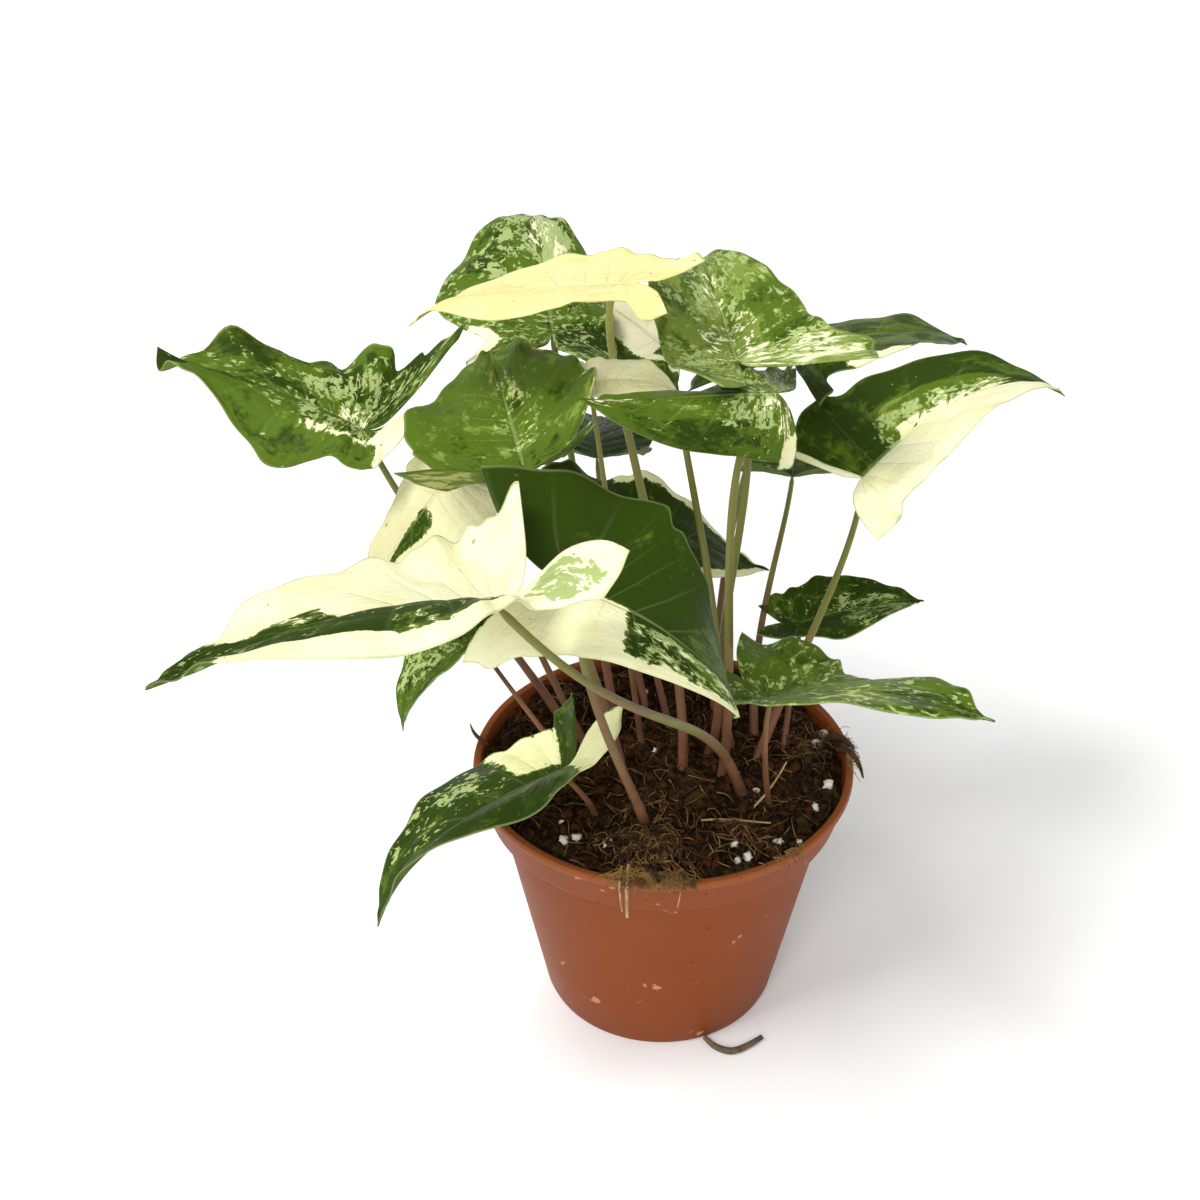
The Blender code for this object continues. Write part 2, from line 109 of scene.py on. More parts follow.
# floor size and camera place in metres, lens and sensor in mm, angles in degrees
FLOOR_SIZE = 60.0
CAMERA_PLACE = (0.0, -0.5122, 0.4882)
CAMERA_DOWN = 33.6
CAMERA_TURN = 2.23
CAMERA_LENS = 61.44
CAMERA_SENSOR = 36.0
ROOM_LIGHT = 0.5

# A leaf: where the stem meets the blade (mm), length to the tip (mm), then angles in degrees.
# facing: heading from +X to +Y, pitch that lifts the tip, roll that lifts the left side.
# bend: arch of the rib down along its length, turn of the last quarter, twist about the rib towards
# the tip, bend of the back lobes, shift of the margin waves.
# left and right halves: widest point, width at the stem, back lobe length, back lobe spread
# (all as parts of the length), fold at the rib, curl towards the margin, margin wave (mm).
# stem: two points that pull its curve, then its place on the soil;
# thick: its radius at the top and at the soil.
LEAVES = {
    "far_left": dict(
        at=(-90, 14, 197), length=66, facing=(174, 26, 11), bend=(25, -10, 6, -58, 41),
        left=(0.35, 0.36, 0.38, 0.16, 21, -109, 5.6), right=(0.31, 0.4, 0.39, 0.36, 32, 10, 3.6),
        stem=((-74, 15, 153), (-44, 19, 113), (-28, 16)), thick=(1.1, 1.7)),
    "front_left": dict(
        at=(-42, -93, 208), length=90, facing=(205, 14, 31), bend=(35, 17, 11, -53, 2),
        left=(0.33, 0.22, 0.36, 0.44, 13, -51, 3.2), right=(0.31, 0.43, 0.29, 0.25, 14, 17, 0.4),
        stem=((-1, -94, 156), (13, -26, 138), (26, -13)), thick=(1.3, 1.9)),
    "centre_low": dict(
        at=(-24, -68, 196), length=67, facing=(324, 6, 24), bend=(113, -11, 34, -35, -14),
        left=(0.51, 0.6, 0.63, 0.24, -18, 4, 0.3), right=(0.27, 0.35, 0.32, 0.53, 22, -61, -0.7),
        stem=((-24, -68, 158), (-4, -54, 112), (-5, -26)), thick=(1.2, 1.9)),
    "centre_high": dict(
        at=(-40, -25, 208), length=63, facing=(106, 18, -10), bend=(34, 0, 10, -54, 85),
        left=(0.48, 0.3, 0.47, 0.54, 5, 1, -2.1), right=(0.43, 0.18, 0.39, 0.34, 11, 21, -1.4),
        stem=((-32, -22, 164), (-14, -16, 118), (-11, -12)), thick=(1.2, 1.8)),
    "back_high": dict(
        at=(-37, 60, 207), length=78, facing=(98, 20, 3), bend=(29, -32, 3, -30, 29),
        left=(0.46, 0.26, 0.41, 0.36, 8, -30, 0.8), right=(0.27, 0.28, 0.4, 0.17, -1, -45, 2.5),
        stem=((-30, 45, 164), (-21, 28, 118), (-14, 14)), thick=(1.2, 1.7)),
    "cream_top": dict(
        at=(-14, -4, 253), length=64, facing=(169, -7, 11), bend=(16, -24, -2, -6, -47),
        left=(0.37, 0.2, 0.29, 0.42, 8, -33, 2.7), right=(0.4, 0.35, 0.33, 0.18, 2, 12, 0.9),
        stem=((-30, 37, 228), (10, -7, 146), (6, -4)), thick=(1.2, 1.8)),
    "small_cream": dict(
        at=(-23, 0, 221), length=27, facing=(354, 13, 6), bend=(42, -21, -3, 10, 89),
        left=(0.36, 0.27, 0.22, 0.3, 16, -9, 1.4), right=(0.33, 0.28, 0.22, 0.3, 8, -15, 0),
        stem=((-17, 3, 174), (-11, 5, 122), (-6, 8)), thick=(0.8, 1.2)),
    "top_right": dict(
        at=(18, 5, 226), length=72, facing=(101, 16, -7), bend=(38, -7, -4, -26, 59),
        left=(0.32, 0.29, 0.44, 0.12, 22, 2, -3.3), right=(0.3, 0.41, 0.43, 0.49, 18, -7, 1.6),
        stem=((33, 9, 183), (6, 9, 126), (24, 8)), thick=(1.2, 1.7)),
    "mid_right": dict(
        at=(29, -14, 226), length=59, facing=(203, 9, -9), bend=(5, 15, 3, 5, 44),
        left=(0.31, 0.36, 0.15, 0.43, -34, -74, -0.6), right=(0.2, 0.32, 0.34, 0.45, -27, 19, 2.3),
        stem=((9, 4, 200), (24, -14, 133), (18, -6)), thick=(1.2, 1.8)),
    "back_right": dict(
        at=(40, 62, 201), length=74, facing=(37, -2, -6), bend=(26, -8, -2, 15, 71),
        left=(0.34, 0.28, 0.42, 0.3, 8, -31, 3.1), right=(0.31, 0.24, 0.27, 0.43, 6, -12, -2.3),
        stem=((25, 88, 165), (14, 50, 115), (17, 24)), thick=(0.9, 1.6)),
    "right": dict(
        at=(56, 7, 188), length=88, facing=(42, 26, -11), bend=(59, -8, -5, -4, 36),
        left=(0.31, 0.3, 0.07, 0.29, 17, 6, 1.8), right=(0.26, 0.29, 0.25, 0.38, 11, -1, -1.3),
        stem=((59, 19, 152), (34, 9, 107), (28, -2)), thick=(1, 1.8)),
    "behind_right": dict(
        at=(38, 37, 171), length=48, facing=(85, -5, -1), bend=(24, 2, 0, -29, 47),
        left=(0.38, 0.32, 0.48, 0.25, 11, -12, -0.1), right=(0.38, 0.32, 0.48, 0.27, 13, -9, -0.3),
        stem=((39, 68, 127), (25, 31, 113), (30, 12)), thick=(0.9, 1.6)),
    "low_right": dict(
        at=(43, 31, 120), length=42, facing=(16, 11, 0), bend=(21, 1, -3, -23, 85),
        left=(0.38, 0.27, 0.28, 0.17, 15, 5, 1.1), right=(0.36, 0.25, 0.43, 0.22, 15, -15, 0.8),
        stem=((41, 23, 106), (39, 13, 92), (38, 6)), thick=(0.8, 1.2)),
    "front_right": dict(
        at=(31, -31, 135), length=78, facing=(326, 33, -21), bend=(36, 16, -2, -47, 92),
        left=(0.3, 0.46, 0.42, 0.23, 5, 3, 3.7), right=(0.34, 0.18, 0.22, 0.07, 3, -7, -1),
        stem=((29, -24, 122), (31, -24, 94), (34, -16)), thick=(0.9, 1.2)),
    "low_left": dict(
        at=(-30, -38, 112), length=72, facing=(206, -9, 30), bend=(39, -16, -3, -44, 77),
        left=(0.33, 0.34, 0.38, 0.3, 19, -41, 3), right=(0.39, 0.25, 0.29, 0.27, 20, -1, 2.4),
        stem=((-25, -35, 102), (-20, -28, 92), (-20, -25)), thick=(0.8, 1.2)),
    "under_left": dict(
        at=(-58, 0, 132), length=39, facing=(202, -25, 2), bend=(55, -7, 4, 10, -10),
        left=(0.33, 0.28, 0.42, 0.3, 19, 15, 0.3), right=(0.36, 0.28, 0.42, 0.3, 19, 3, -1.7),
        stem=((-47, -2, 114), (-34, -4, 95), (-24, -6)), thick=(0.8, 1.2)),
    "inner_left": dict(
        at=(-63, 0, 190), length=46, facing=(211, -43, -15), bend=(27, -6, 0, 10, 55),
        left=(0.46, 0.36, 0.28, 0.3, 0, -30, -1.4), right=(0.32, 0.29, 0.28, 0.3, 7, -23, 2.4),
        stem=((-49, 2, 153), (-34, 4, 113), (-22, 6)), thick=(0.9, 1.5)),
    "behind_dark": dict(
        at=(-24, 78, 153), length=57, facing=(92, -6, 4), bend=(23, 2, 0, -24, 55),
        left=(0.33, 0.28, 0.42, 0.2, 14, -5, -0.6), right=(0.33, 0.28, 0.42, 0.24, 14, -4, -0.6),
        stem=((-22, 74, 124), (-10, 34, 106), (-4, 22)), thick=(0.9, 1.4)),
    "behind_low": dict(
        at=(-15, 26, 160), length=58, facing=(18, -22, 11), bend=(27, 30, 5, 11, 76),
        left=(0.35, 0.33, 0.42, 0.3, 7, 8, -2.5), right=(0.34, 0.28, 0.42, 0.3, 4, -21, 0),
        stem=((-9, 22, 133), (-2, 18, 104), (4, 14)), thick=(0.9, 1.4)),
    "behind_cream": dict(
        at=(0, 67, 197), length=43, facing=(138, 18, -27), bend=(34, -3, 0, 7, 44),
        left=(0.37, 0.16, 0.3, 0.3, 8, -16, -0.3), right=(0.33, 0.28, 0.3, 0.3, 8, -15, 0),
        stem=((3, 45, 172), (24, -30, 140), (14, 10)), thick=(1.1, 1.7)),
}

# How a blade is finished. cream: share of cream from 0 to 1; tone: dark to light green; grey: share
# of pale grey-green flecks; crumple: strength of its ruffle and dents; hook: rise of its tip, mm.
# A patch is (layer, from, to, inner, outer, level): from and to run from the back lobe's end at 0
# to the tip at 1, inner and outer from the left margin at -1 over the rib at 0 to the right margin
# at 1. Later patches lie over earlier ones.
LOOKS = {
    "far_left": dict(cream=0.06, tone=0.34, grey=0.3, crumple=1.7, hook=8, patches=[
        ("tone", 0.92, 1, -1.1, 1.1, -0.4),
        ("grey", 0.18, 0.6, -0.46, 0.7, 0.5), ("cream", 0.22, 0.5, -0.2, 0.25, 0.42),
        ("tone", 0.1, 0.9, -1.1, -0.5, 0.44), ("grey", 0.1, 0.95, -1.1, -0.5, 0.16),
        ("cream", 0.14, 0.55, -0.53, -0.45, 0.85), ("cream", 0, 0.17, -1.1, -0.35, 0.95),
        ("tone", 0, 0.3, 0.1, 1, 0.12), ("grey", 0, 0.28, 0.3, 0.8, 0.46)]),
    "front_left": dict(cream=1, tone=0.1, grey=0.3, crumple=0.9, patches=[
        ("cream", 0.04, 0.23, -0.95, -0.35, 0.44), ("grey", 0, 0.26, -1.1, -0.2, 0.95),
        ("cream", 0.3, 1, -0.76, 0, 0.04), ("cream", 0.48, 0.6, -0.85, -0.35, 0.4),
        ("cream", 0.7, 0.92, 0, 0.42, 0.04), ("cream", 0.8, 1, -1.1, 1.1, 0),
        ("cream", 0.72, 0.8, 0.1, 0.5, 0.42), ("cream", 0.34, 0.6, -0.5, -0.02, 0.34)]),
    "centre_low": dict(cream=0, tone=-0.1, grey=0.04, patches=[
        ("cream", 0, 0.58, 0, 1.1, 1), ("grey", 0.58, 0.84, 0.15, 1, 0.5),
        ("cream", 0.58, 0.9, 0.25, 1, 0.36), ("cream", 0.55, 0.97, 0.88, 1.1, 0.8),
        ("tone", 0.7, 1, -1, 1, 0.3), ("cream", 0.2, 0.58, -0.035, 0, 1)]),
    "centre_high": dict(cream=0.03, tone=0.5, grey=0.16, crumple=1.25, patches=[
        ("cream", 0, 0.2, -1, -0.55, 0.5), ("tone", 0, 0.24, 0.3, 1, 0.12),
        ("cream", 0.4, 0.8, -0.12, 0.3, 0.32), ("grey", 0.4, 0.8, -0.2, 0.4, 0.36),
        ("tone", 0.55, 1, 0.4, 1.1, 0.5), ("cream", 0.25, 0.9, 0.93, 1.1, 0.48)]),
    "back_high": dict(cream=0.12, tone=0.42, grey=0.42, crumple=0.7, patches=[
        ("cream", 0, 0.35, -1, -0.82, 1), ("tone", 0.05, 0.35, 0.1, 0.9, 0.12),
        ("grey", 0.6, 0.96, -0.8, 0.1, 0.5), ("grey", 0.62, 0.98, 0.1, 0.75, 0.95),
        ("cream", 0.64, 0.96, 0.15, 0.7, 0.44), ("cream", 0.74, 0.98, -0.3, 0.1, 0.5),
        ("grey", 0.52, 0.66, -0.2, 0.9, 0.12)]),
    "cream_top": dict(cream=1, tone=0.3, grey=0.2, patches=[]),
    "small_cream": dict(cream=1, tone=0.3, grey=0.2, patches=[
        ("cream", 0, 0.25, 0.4, 1, 0.4)]),
    "top_right": dict(cream=0.12, tone=0.76, grey=0.34, crumple=0.4, patches=[
        ("grey", 0, 0.32, 0.05, 1, 0.6), ("cream", 0, 0.3, 0.15, 1, 0.44),
        ("grey", 0.02, 0.34, -0.9, -0.1, 0.5), ("cream", 0.18, 0.56, -0.45, 0.45, 0.4),
        ("grey", 0.5, 0.78, -0.5, 0.25, 0.52), ("cream", 0.62, 0.8, -0.3, 0.15, 0.42),
        ("grey", 0.62, 0.95, 0.4, 1, 0.44), ("tone", 0.3, 0.6, 0.45, 1, 0.4)]),
    "mid_right": dict(cream=0.05, tone=0.46, grey=0.24, patches=[
        ("cream", 0, 0.24, -1, -0.62, 0.8), ("cream", 0, 0.3, -0.6, -0.1, 0.46),
        ("grey", 0, 0.55, 0, 1, 0.46), ("grey", 0.32, 0.58, -0.5, 0, 0.52),
        ("cream", 0.1, 0.5, -0.3, 0.3, 0.4),
        ("tone", 0.35, 0.95, -1, -0.4, 0.28), ("cream", 0.84, 0.96, -0.8, 0.8, 0.48),
        ("cream", 0.6, 0.78, 0.9, 1.1, 0.8)]),
    "back_right": dict(cream=0.04, tone=0.26, grey=0.12, patches=[
        ("tone", 0, 0.4, -1, 1, 0.2), ("cream", 0.34, 0.56, 0.78, 1.1, 0.85)]),
    "right": dict(cream=1, tone=0.16, grey=0.12, patches=[
        ("cream", 0.1, 0.86, -1.1, 0, 0.04), ("cream", 0, 0.13, -1.1, 0, 1),
        ("cream", 0.1, 0.24, -1.1, -0.72, 0.5), ("cream", 0.8, 1, -1.1, 0.2, 0),
        ("cream", 0.9, 1, 0.1, 1.1, 0), ("grey", 0.48, 0.84, -0.42, 0, 0.56),
        ("cream", 0.52, 0.84, -0.16, 0, 0.62), ("tone", 0.5, 0.8, -0.5, 0, 0.6),
        ("cream", 0.62, 0.8, -0.45, -0.12, 0.4)]),
    "behind_right": dict(cream=0.05, tone=0.4, grey=0.25, patches=[
        ("cream", 0.3, 0.6, 0.8, 1.1, 0.8), ("cream", 0.25, 0.5, -1.1, -0.8, 0.6)]),
    "low_right": dict(cream=0.06, tone=0.16, grey=0.24, patches=[
        ("tone", 0.3, 0.6, -1, 1, 0.1), ("grey", 0.6, 0.85, -0.6, 1, 0.5)]),
    "front_right": dict(cream=0.2, tone=0.48, grey=0.36, crumple=0.6, patches=[
        ("cream", 0, 0.22, -1, -0.1, 0.28), ("tone", 0, 0.25, -1, 0, 0.45),
        ("cream", 0.24, 0.42, -0.9, 0, 0.3), ("cream", 0.62, 0.76, -0.3, 0.9, 0.44),
        ("tone", 0.76, 0.9, -1, 1, 0.18), ("cream", 0.76, 0.92, -1, 1, 0.1),
        ("cream", 0.05, 0.55, 0.2, 0.9, 0.1)]),
    "low_left": dict(cream=0.08, tone=0.08, grey=0.16, patches=[
        ("cream", 0, 0.28, -1, 0, 0.8), ("cream", 0.2, 0.48, 0.2, 1, 0.85),
        ("grey", 0.48, 0.8, 0.2, 1, 0.38)]),
    "under_left": dict(cream=0.04, tone=0.3, grey=0.26, patches=[
        ("grey", 0.5, 0.75, 0.1, 0.9, 0.5)]),
    "inner_left": dict(cream=1, tone=0.05, grey=0.1, patches=[
        ("cream", 0.58, 0.86, -0.35, 0.08, 0.2)]),
    "behind_dark": dict(cream=0, tone=-0.05, grey=0.04, patches=[
        ("grey", 0.52, 0.8, -0.1, 0.8, 0.28)]),
    "behind_low": dict(cream=0.02, tone=-0.05, grey=0.04, patches=[
        ("cream", 0.6, 0.95, 0.82, 1.1, 0.85), ("cream", 0.3, 0.9, -1.1, -0.85, 0.85)]),
    "behind_cream": dict(cream=0.85, tone=0.18, grey=0.15, patches=[
        ("cream", 0, 0.6, -1, -0.55, 0.1), ("cream", 0.15, 0.42, -0.3, 0.5, 0.1)]),
}

# The loose root on the floor in front of the pot, mm.
STRAY_ROOT = [(15.5, -35.3), (18.9, -39.2), (24, -41), (29, -38.6), (34, -34.4)]
STRAY_ROOT_RADIUS = 1.2

# Where perlite grains lie on the soil, mm.
PERLITE_SPOTS = [
    (52, 19), (49, 10), (51.5, -12.5), (47, -20.5), (29, -13.5), (-30, -33.5),
    (-29.5, -38.5), (-25.5, -38), (-16, -43), (-2.5, 3.5), (22, -40.5), (23, -46),
    (26, -45.5), (35.5, -36), (41.5, -36), (1, -46.5), (-34, 22), (10, 40),
    (-6, 34), (36, 28), (-47, 2)]

# Denser tufts of coir: middle (mm), spread (mm) and number of fibres.
TUFTS = [
    (-4, -46, 7, 300), (23, -36, 6, 90), (-6, -30, 6, 60),
    (46, 12, 6, 120)]

# Straws and flakes of bark: points (mm), each with its share of the full radius.
STRAWS = [
    [(-9.5, -53, 89.5, 0.8), (-9.8, -58.5, 90, 1),
     (-9.9, -62.2, 86, 1), (-9.5, -62.6, 77.5, 0.7)],
    [(-11.5, -54, 89.8, 0.5), (-12.2, -59.5, 90.2, 0.6),
     (-12, -62, 86.5, 0.6), (-11, -61.8, 79, 0.4)],
    [(6.5, -54.5, 89.4, 0.35), (6.3, -59.8, 89.6, 0.4),
     (6, -61.8, 86, 0.4), (5.2, -61, 80.5, 0.25)],
    [(27, -24, 87.5, 0.6), (31, -22, 90.5, 0.7),
     (35, -17.5, 94, 0.6), (38, -13, 98, 0.4)],
    [(12, -30, 88, 0.6), (19, -31, 90, 0.7),
     (27, -32, 89.5, 0.6), (33, -31, 88.5, 0.4)],
]
BARKS = [
    [(55, 6, 88.5, 0.8), (59, 5, 89.8, 1.1),
     (62, 2, 88.5, 0.9), (63.2, -2.5, 84, 0.3)],
    [(52, 12, 88, 1), (55.5, 12, 89.5, 1.5),
     (58, 10.5, 90, 1.2), (60.5, 6, 89, 0.4)],
    [(-56, 5, 88, 0.4), (-59, 6, 89.6, 0.8),
     (-61, 8, 89.8, 0.6), (-62, 11, 91.5, 0.2)],
]

# The angle round the rim, in degrees, of each short fibre at its sides.
SIDE_FIBRES = [-49] * 16 + [7] * 60

# colours, linear
TERRACOTTA = (0.225, 0.05, 0.009)
TERRACOTTA_DULL = (0.215, 0.05, 0.01)
# paler colour that paints the highlight on the pot's lip
TERRACOTTA_PAINTED_HIGHLIGHT = (0.36, 0.115, 0.038)
POT_DIRT = (0.045, 0.02, 0.01)
WATER_MARK = (0.62, 0.34, 0.2)
PEAT_DARK = (0.012, 0.006, 0.003)
PEAT_LIGHT = (0.085, 0.04, 0.018)
PEAT_FLECK = (0.24, 0.13, 0.05)
MOSS = (0.075, 0.06, 0.014)
CREAM = (0.88, 0.87, 0.57)
CREAM_SHADE = (0.8, 0.78, 0.43)
BUTTER = (0.86, 0.8, 0.38)
BUTTER_SHADE = (0.76, 0.7, 0.27)
GREEN_DARK = (0.026, 0.05, 0.004)
GREEN_MID = (0.082, 0.14, 0.011)
GREEN_LIGHT = (0.2, 0.275, 0.048)
GREEN_PALE = (0.39, 0.48, 0.18)
UNDERSIDE = (0.2, 0.25, 0.07)
LEAF_SPOT = (0.13, 0.085, 0.03)
STALK_OLIVE = (0.165, 0.098, 0.034)
STALK_PINK = (0.24, 0.105, 0.055)
STALK_GREEN = (0.2, 0.215, 0.045)
STALK_TOP = (0.4, 0.4, 0.095)
STALK_BLOTCH = (0.11, 0.05, 0.026)
STALK_LINE = (0.09, 0.06, 0.02)
FIBRE = (0.3, 0.17, 0.048)
PERLITE = (0.8, 0.78, 0.7)
PERLITE_SHADE = (0.5, 0.43, 0.33)
FLOOR_WHITE = (0.96, 0.96, 0.96)

# Finishes of the small loose bits: colour, darker colour, cloud scale, roughness, shine.
LOOSE_FINISHES = {
    "peat_crumb": ((0.07, 0.026, 0.009), (0.008, 0.004, 0.002), 420.0, 0.95, 0.05),
    "coir_fibre": (FIBRE, (0.07, 0.03, 0.01), 240.0, 0.8, 0.3),
    "dark_coir": ((0.085, 0.036, 0.013), (0.022, 0.01, 0.005), 240.0, 0.8, 0.3),
    "hanging_coir": (FIBRE, (0.06, 0.032, 0.014), 240.0, 0.8, 0.3),
    "straw": ((0.52, 0.36, 0.16), (0.3, 0.19, 0.07), 200.0, 0.8, 0.3),
    "bark_bits": ((0.1, 0.052, 0.026), (0.03, 0.016, 0.009), 260.0, 0.9, 0.3),
    "dry_root": ((0.17, 0.12, 0.075), (0.06, 0.04, 0.025), 260.0, 0.8, 0.3),
}

# The pale parts of blades that aren't plain cream: colour, deeper colour. Some carry painted light:
# inner_left and behind_cream are dulled to paint the shade of the leaves over them, and small_cream
# is brightened to paint the light it misses under cream_top.
PALE_TINTS_WITH_PAINTED_SHADE_AND_LIGHT = {
    "cream_top": (BUTTER, BUTTER_SHADE),
    # painted shade: cream dulled for the shade of centre_high over this leaf
    "inner_left": ((0.66, 0.64, 0.38), (0.56, 0.53, 0.28)),
    # painted shade: cream dulled for the shade of the leaves over this leaf
    "behind_cream": ((0.66, 0.63, 0.42), (0.56, 0.52, 0.33)),
    # painted light: cream brightened to stand in for the light this leaf misses under cream_top
    "small_cream": ((0.98, 0.95, 0.66), (0.9, 0.85, 0.48)),
    "centre_high": ((0.6, 0.6, 0.22), (0.5, 0.5, 0.13)),
    "front_right": ((0.55, 0.58, 0.19), (0.47, 0.5, 0.12)),
    "low_right": ((0.47, 0.5, 0.22), (0.34, 0.24, 0.08)),
    "low_left": ((0.82, 0.82, 0.46), (0.76, 0.75, 0.36)),
}


class Value:
    """The output of a node. Sums on values add Math nodes."""

    def __init__(self, surface, socket):
        self.surface = surface
        self.socket = socket

    def __add__(self, other):
        return self.surface.maths("ADD", self, other)

    def __radd__(self, other):
        return self.surface.maths("ADD", other, self)

    def __sub__(self, other):
        return self.surface.maths("SUBTRACT", self, other)

    def __rsub__(self, other):
        return self.surface.maths("SUBTRACT", other, self)

    def __mul__(self, other):
        return self.surface.maths("MULTIPLY", self, other)

    def __rmul__(self, other):
        return self.surface.maths("MULTIPLY", other, self)

    def __abs__(self):
        return self.surface.maths("ABSOLUTE", self, 0.0)


class Surface:
    """The node graph of one material."""

    def __init__(self, name, roughness, shine=0.5):
        self.material = bpy.data.materials.new(name)
        self.material.use_nodes = True
        self.tree = self.material.node_tree
        self.shader = self.tree.nodes["Principled BSDF"]
        self.shader.inputs["Roughness"].default_value = roughness
        self.shader.inputs["Specular IOR Level"].default_value = shine

    def node(self, kind, settings, sockets, output=0):
        made = self.tree.nodes.new("ShaderNode" + kind)
        for key, value in settings.items():
            setattr(made, key, value)
        for key, value in sockets.items():
            self.feed(made.inputs[key], value)
        return Value(self, made.outputs[output])

    def feed(self, socket, value):
        if isinstance(value, Value):
            self.tree.links.new(value.socket, socket)
        elif isinstance(value, tuple) and len(value) == 3 and socket.type == "RGBA":
            socket.default_value = (*value, 1.0)
        else:
            socket.default_value = value

    def maths(self, operation, a, b):
        return self.node("Math", {"operation": operation}, {0: a, 1: b})

    def ease(self, value, low, high):
        """0 below low, 1 above high and smooth between."""
        return self.node(
            "MapRange", {"interpolation_type": "SMOOTHSTEP"},
            {"Value": value, "From Min": low, "From Max": high})

    def blend(self, factor, a, b):
        return self.node("Mix", {"data_type": "RGBA"}, {0: factor, 6: a, 7: b}, 2)

    def vector(self, x, y, z):
        return self.node("CombineXYZ", {}, {0: x, 1: y, 2: z})

    def parts(self, vector):
        return [self.node("SeparateXYZ", {}, {0: vector}, k) for k in range(3)]

    def noise(self, vector, scale, detail=3.0, roughness=0.5, distortion=0.0):
        return self.node("TexNoise", {}, {
            "Vector": vector, "Scale": scale, "Detail": detail, "Roughness": roughness,
            "Distortion": distortion})

    def place(self):
        return self.node("TexCoord", {}, {}, "Object")

    def relief(self, height, distance, strength):
        normal = self.node(
            "Bump", {}, {"Height": height, "Distance": distance, "Strength": strength})
        self.feed(self.shader.inputs["Normal"], normal)

    def colour(self, value):
        self.feed(self.shader.inputs["Base Color"], value)

    def rough(self, value):
        self.feed(self.shader.inputs["Roughness"], value)


def deselect():
    if bpy.context.object is not None and bpy.context.object.mode != "OBJECT":
        bpy.ops.object.mode_set(mode="OBJECT")
    bpy.ops.object.select_all(action="DESELECT")


def named(name, *materials):
    """The new active object gets its name and materials, with its place in its mesh."""
    piece = bpy.context.object
    piece.name = name
    piece.data.name = name
    bpy.ops.object.transform_apply(location=True, rotation=True, scale=True)
    piece.data.materials.clear()
    for material in materials:
        piece.data.materials.append(material)
    return piece


def finished(piece, slot, *nodes):
    """Smooth shading, its body and the solids it stands for, hidden. The slot is not used."""
    piece.data.shade_smooth()
    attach(piece, "root")
    if nodes:
        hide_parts(*nodes)
    deselect()
    return piece


def apply(piece):
    """Every modifier on the piece, applied in order."""
    for modifier in list(piece.modifiers):
        bpy.ops.object.modifier_apply(modifier=modifier.name)


def activate(piece):
    piece.select_set(True)
    bpy.context.view_layer.objects.active = piece


def add_object(name, data):
    """A new object of this data, in the scene."""
    made = bpy.data.objects.new(name, data)
    bpy.context.scene.collection.objects.link(made)
    return made


def places(piece):
    """Where each vertex of the piece is, as rows."""
    count = len(piece.data.vertices)
    spots = np.empty(count * 3)
    piece.data.vertices.foreach_get("co", spots)
    return spots.reshape(count, 3)


def move_to(piece, spots):
    piece.data.vertices.foreach_set("co", np.ascontiguousarray(spots).ravel())
    piece.data.update()


def unit(values):
    """The values held between 0 and 1."""
    return np.clip(values, 0.0, 1.0)


def curve_through(points, s):
    """A smooth curve through evenly spaced control points, s from 0 to 1."""
    pts = np.array(points, float)
    pts = np.vstack([2 * pts[0] - pts[1], pts, 2 * pts[-1] - pts[-2]])
    spans = len(pts) - 3
    a = unit(s) * spans
    i = np.minimum(a.astype(int), spans - 1)
    f = (a - i)[..., None]
    p0, p1, p2, p3 = pts[i], pts[i + 1], pts[i + 2], pts[i + 3]
    even = 2 * p1 + (p2 - p0) * f + (2 * p0 - 5 * p1 + 4 * p2 - p3) * f ** 2
    return 0.5 * (even + (3 * p1 - p0 - 3 * p2 + p3) * f ** 3)


def margin(half):
    """Margin of a half blade from the back lobe's end to the tip, in lengths."""
    belly, waist, lobe, spread = half[:4]
    return [
        (spread, -lobe), ((spread + waist) / 2 + 0.05, -0.58 * lobe), (waist, -0.05),
        ((waist + 2 * belly) / 3, 0.1), (belly, 0.25), (0.8 * belly, 0.5),
        (0.42 * belly, 0.77), (0.1 * belly, 0.93), (0.0, 1.0),
    ]


def swept(angles, step):
    """Points along a bent line, from its angle at even steps."""
    mid = (angles[1:] + angles[:-1]) / 2
    along = np.concatenate([[0.0], np.cumsum(np.cos(mid) * step)])
    up = np.concatenate([[0.0], np.cumsum(np.sin(mid) * step)])
    return along, up


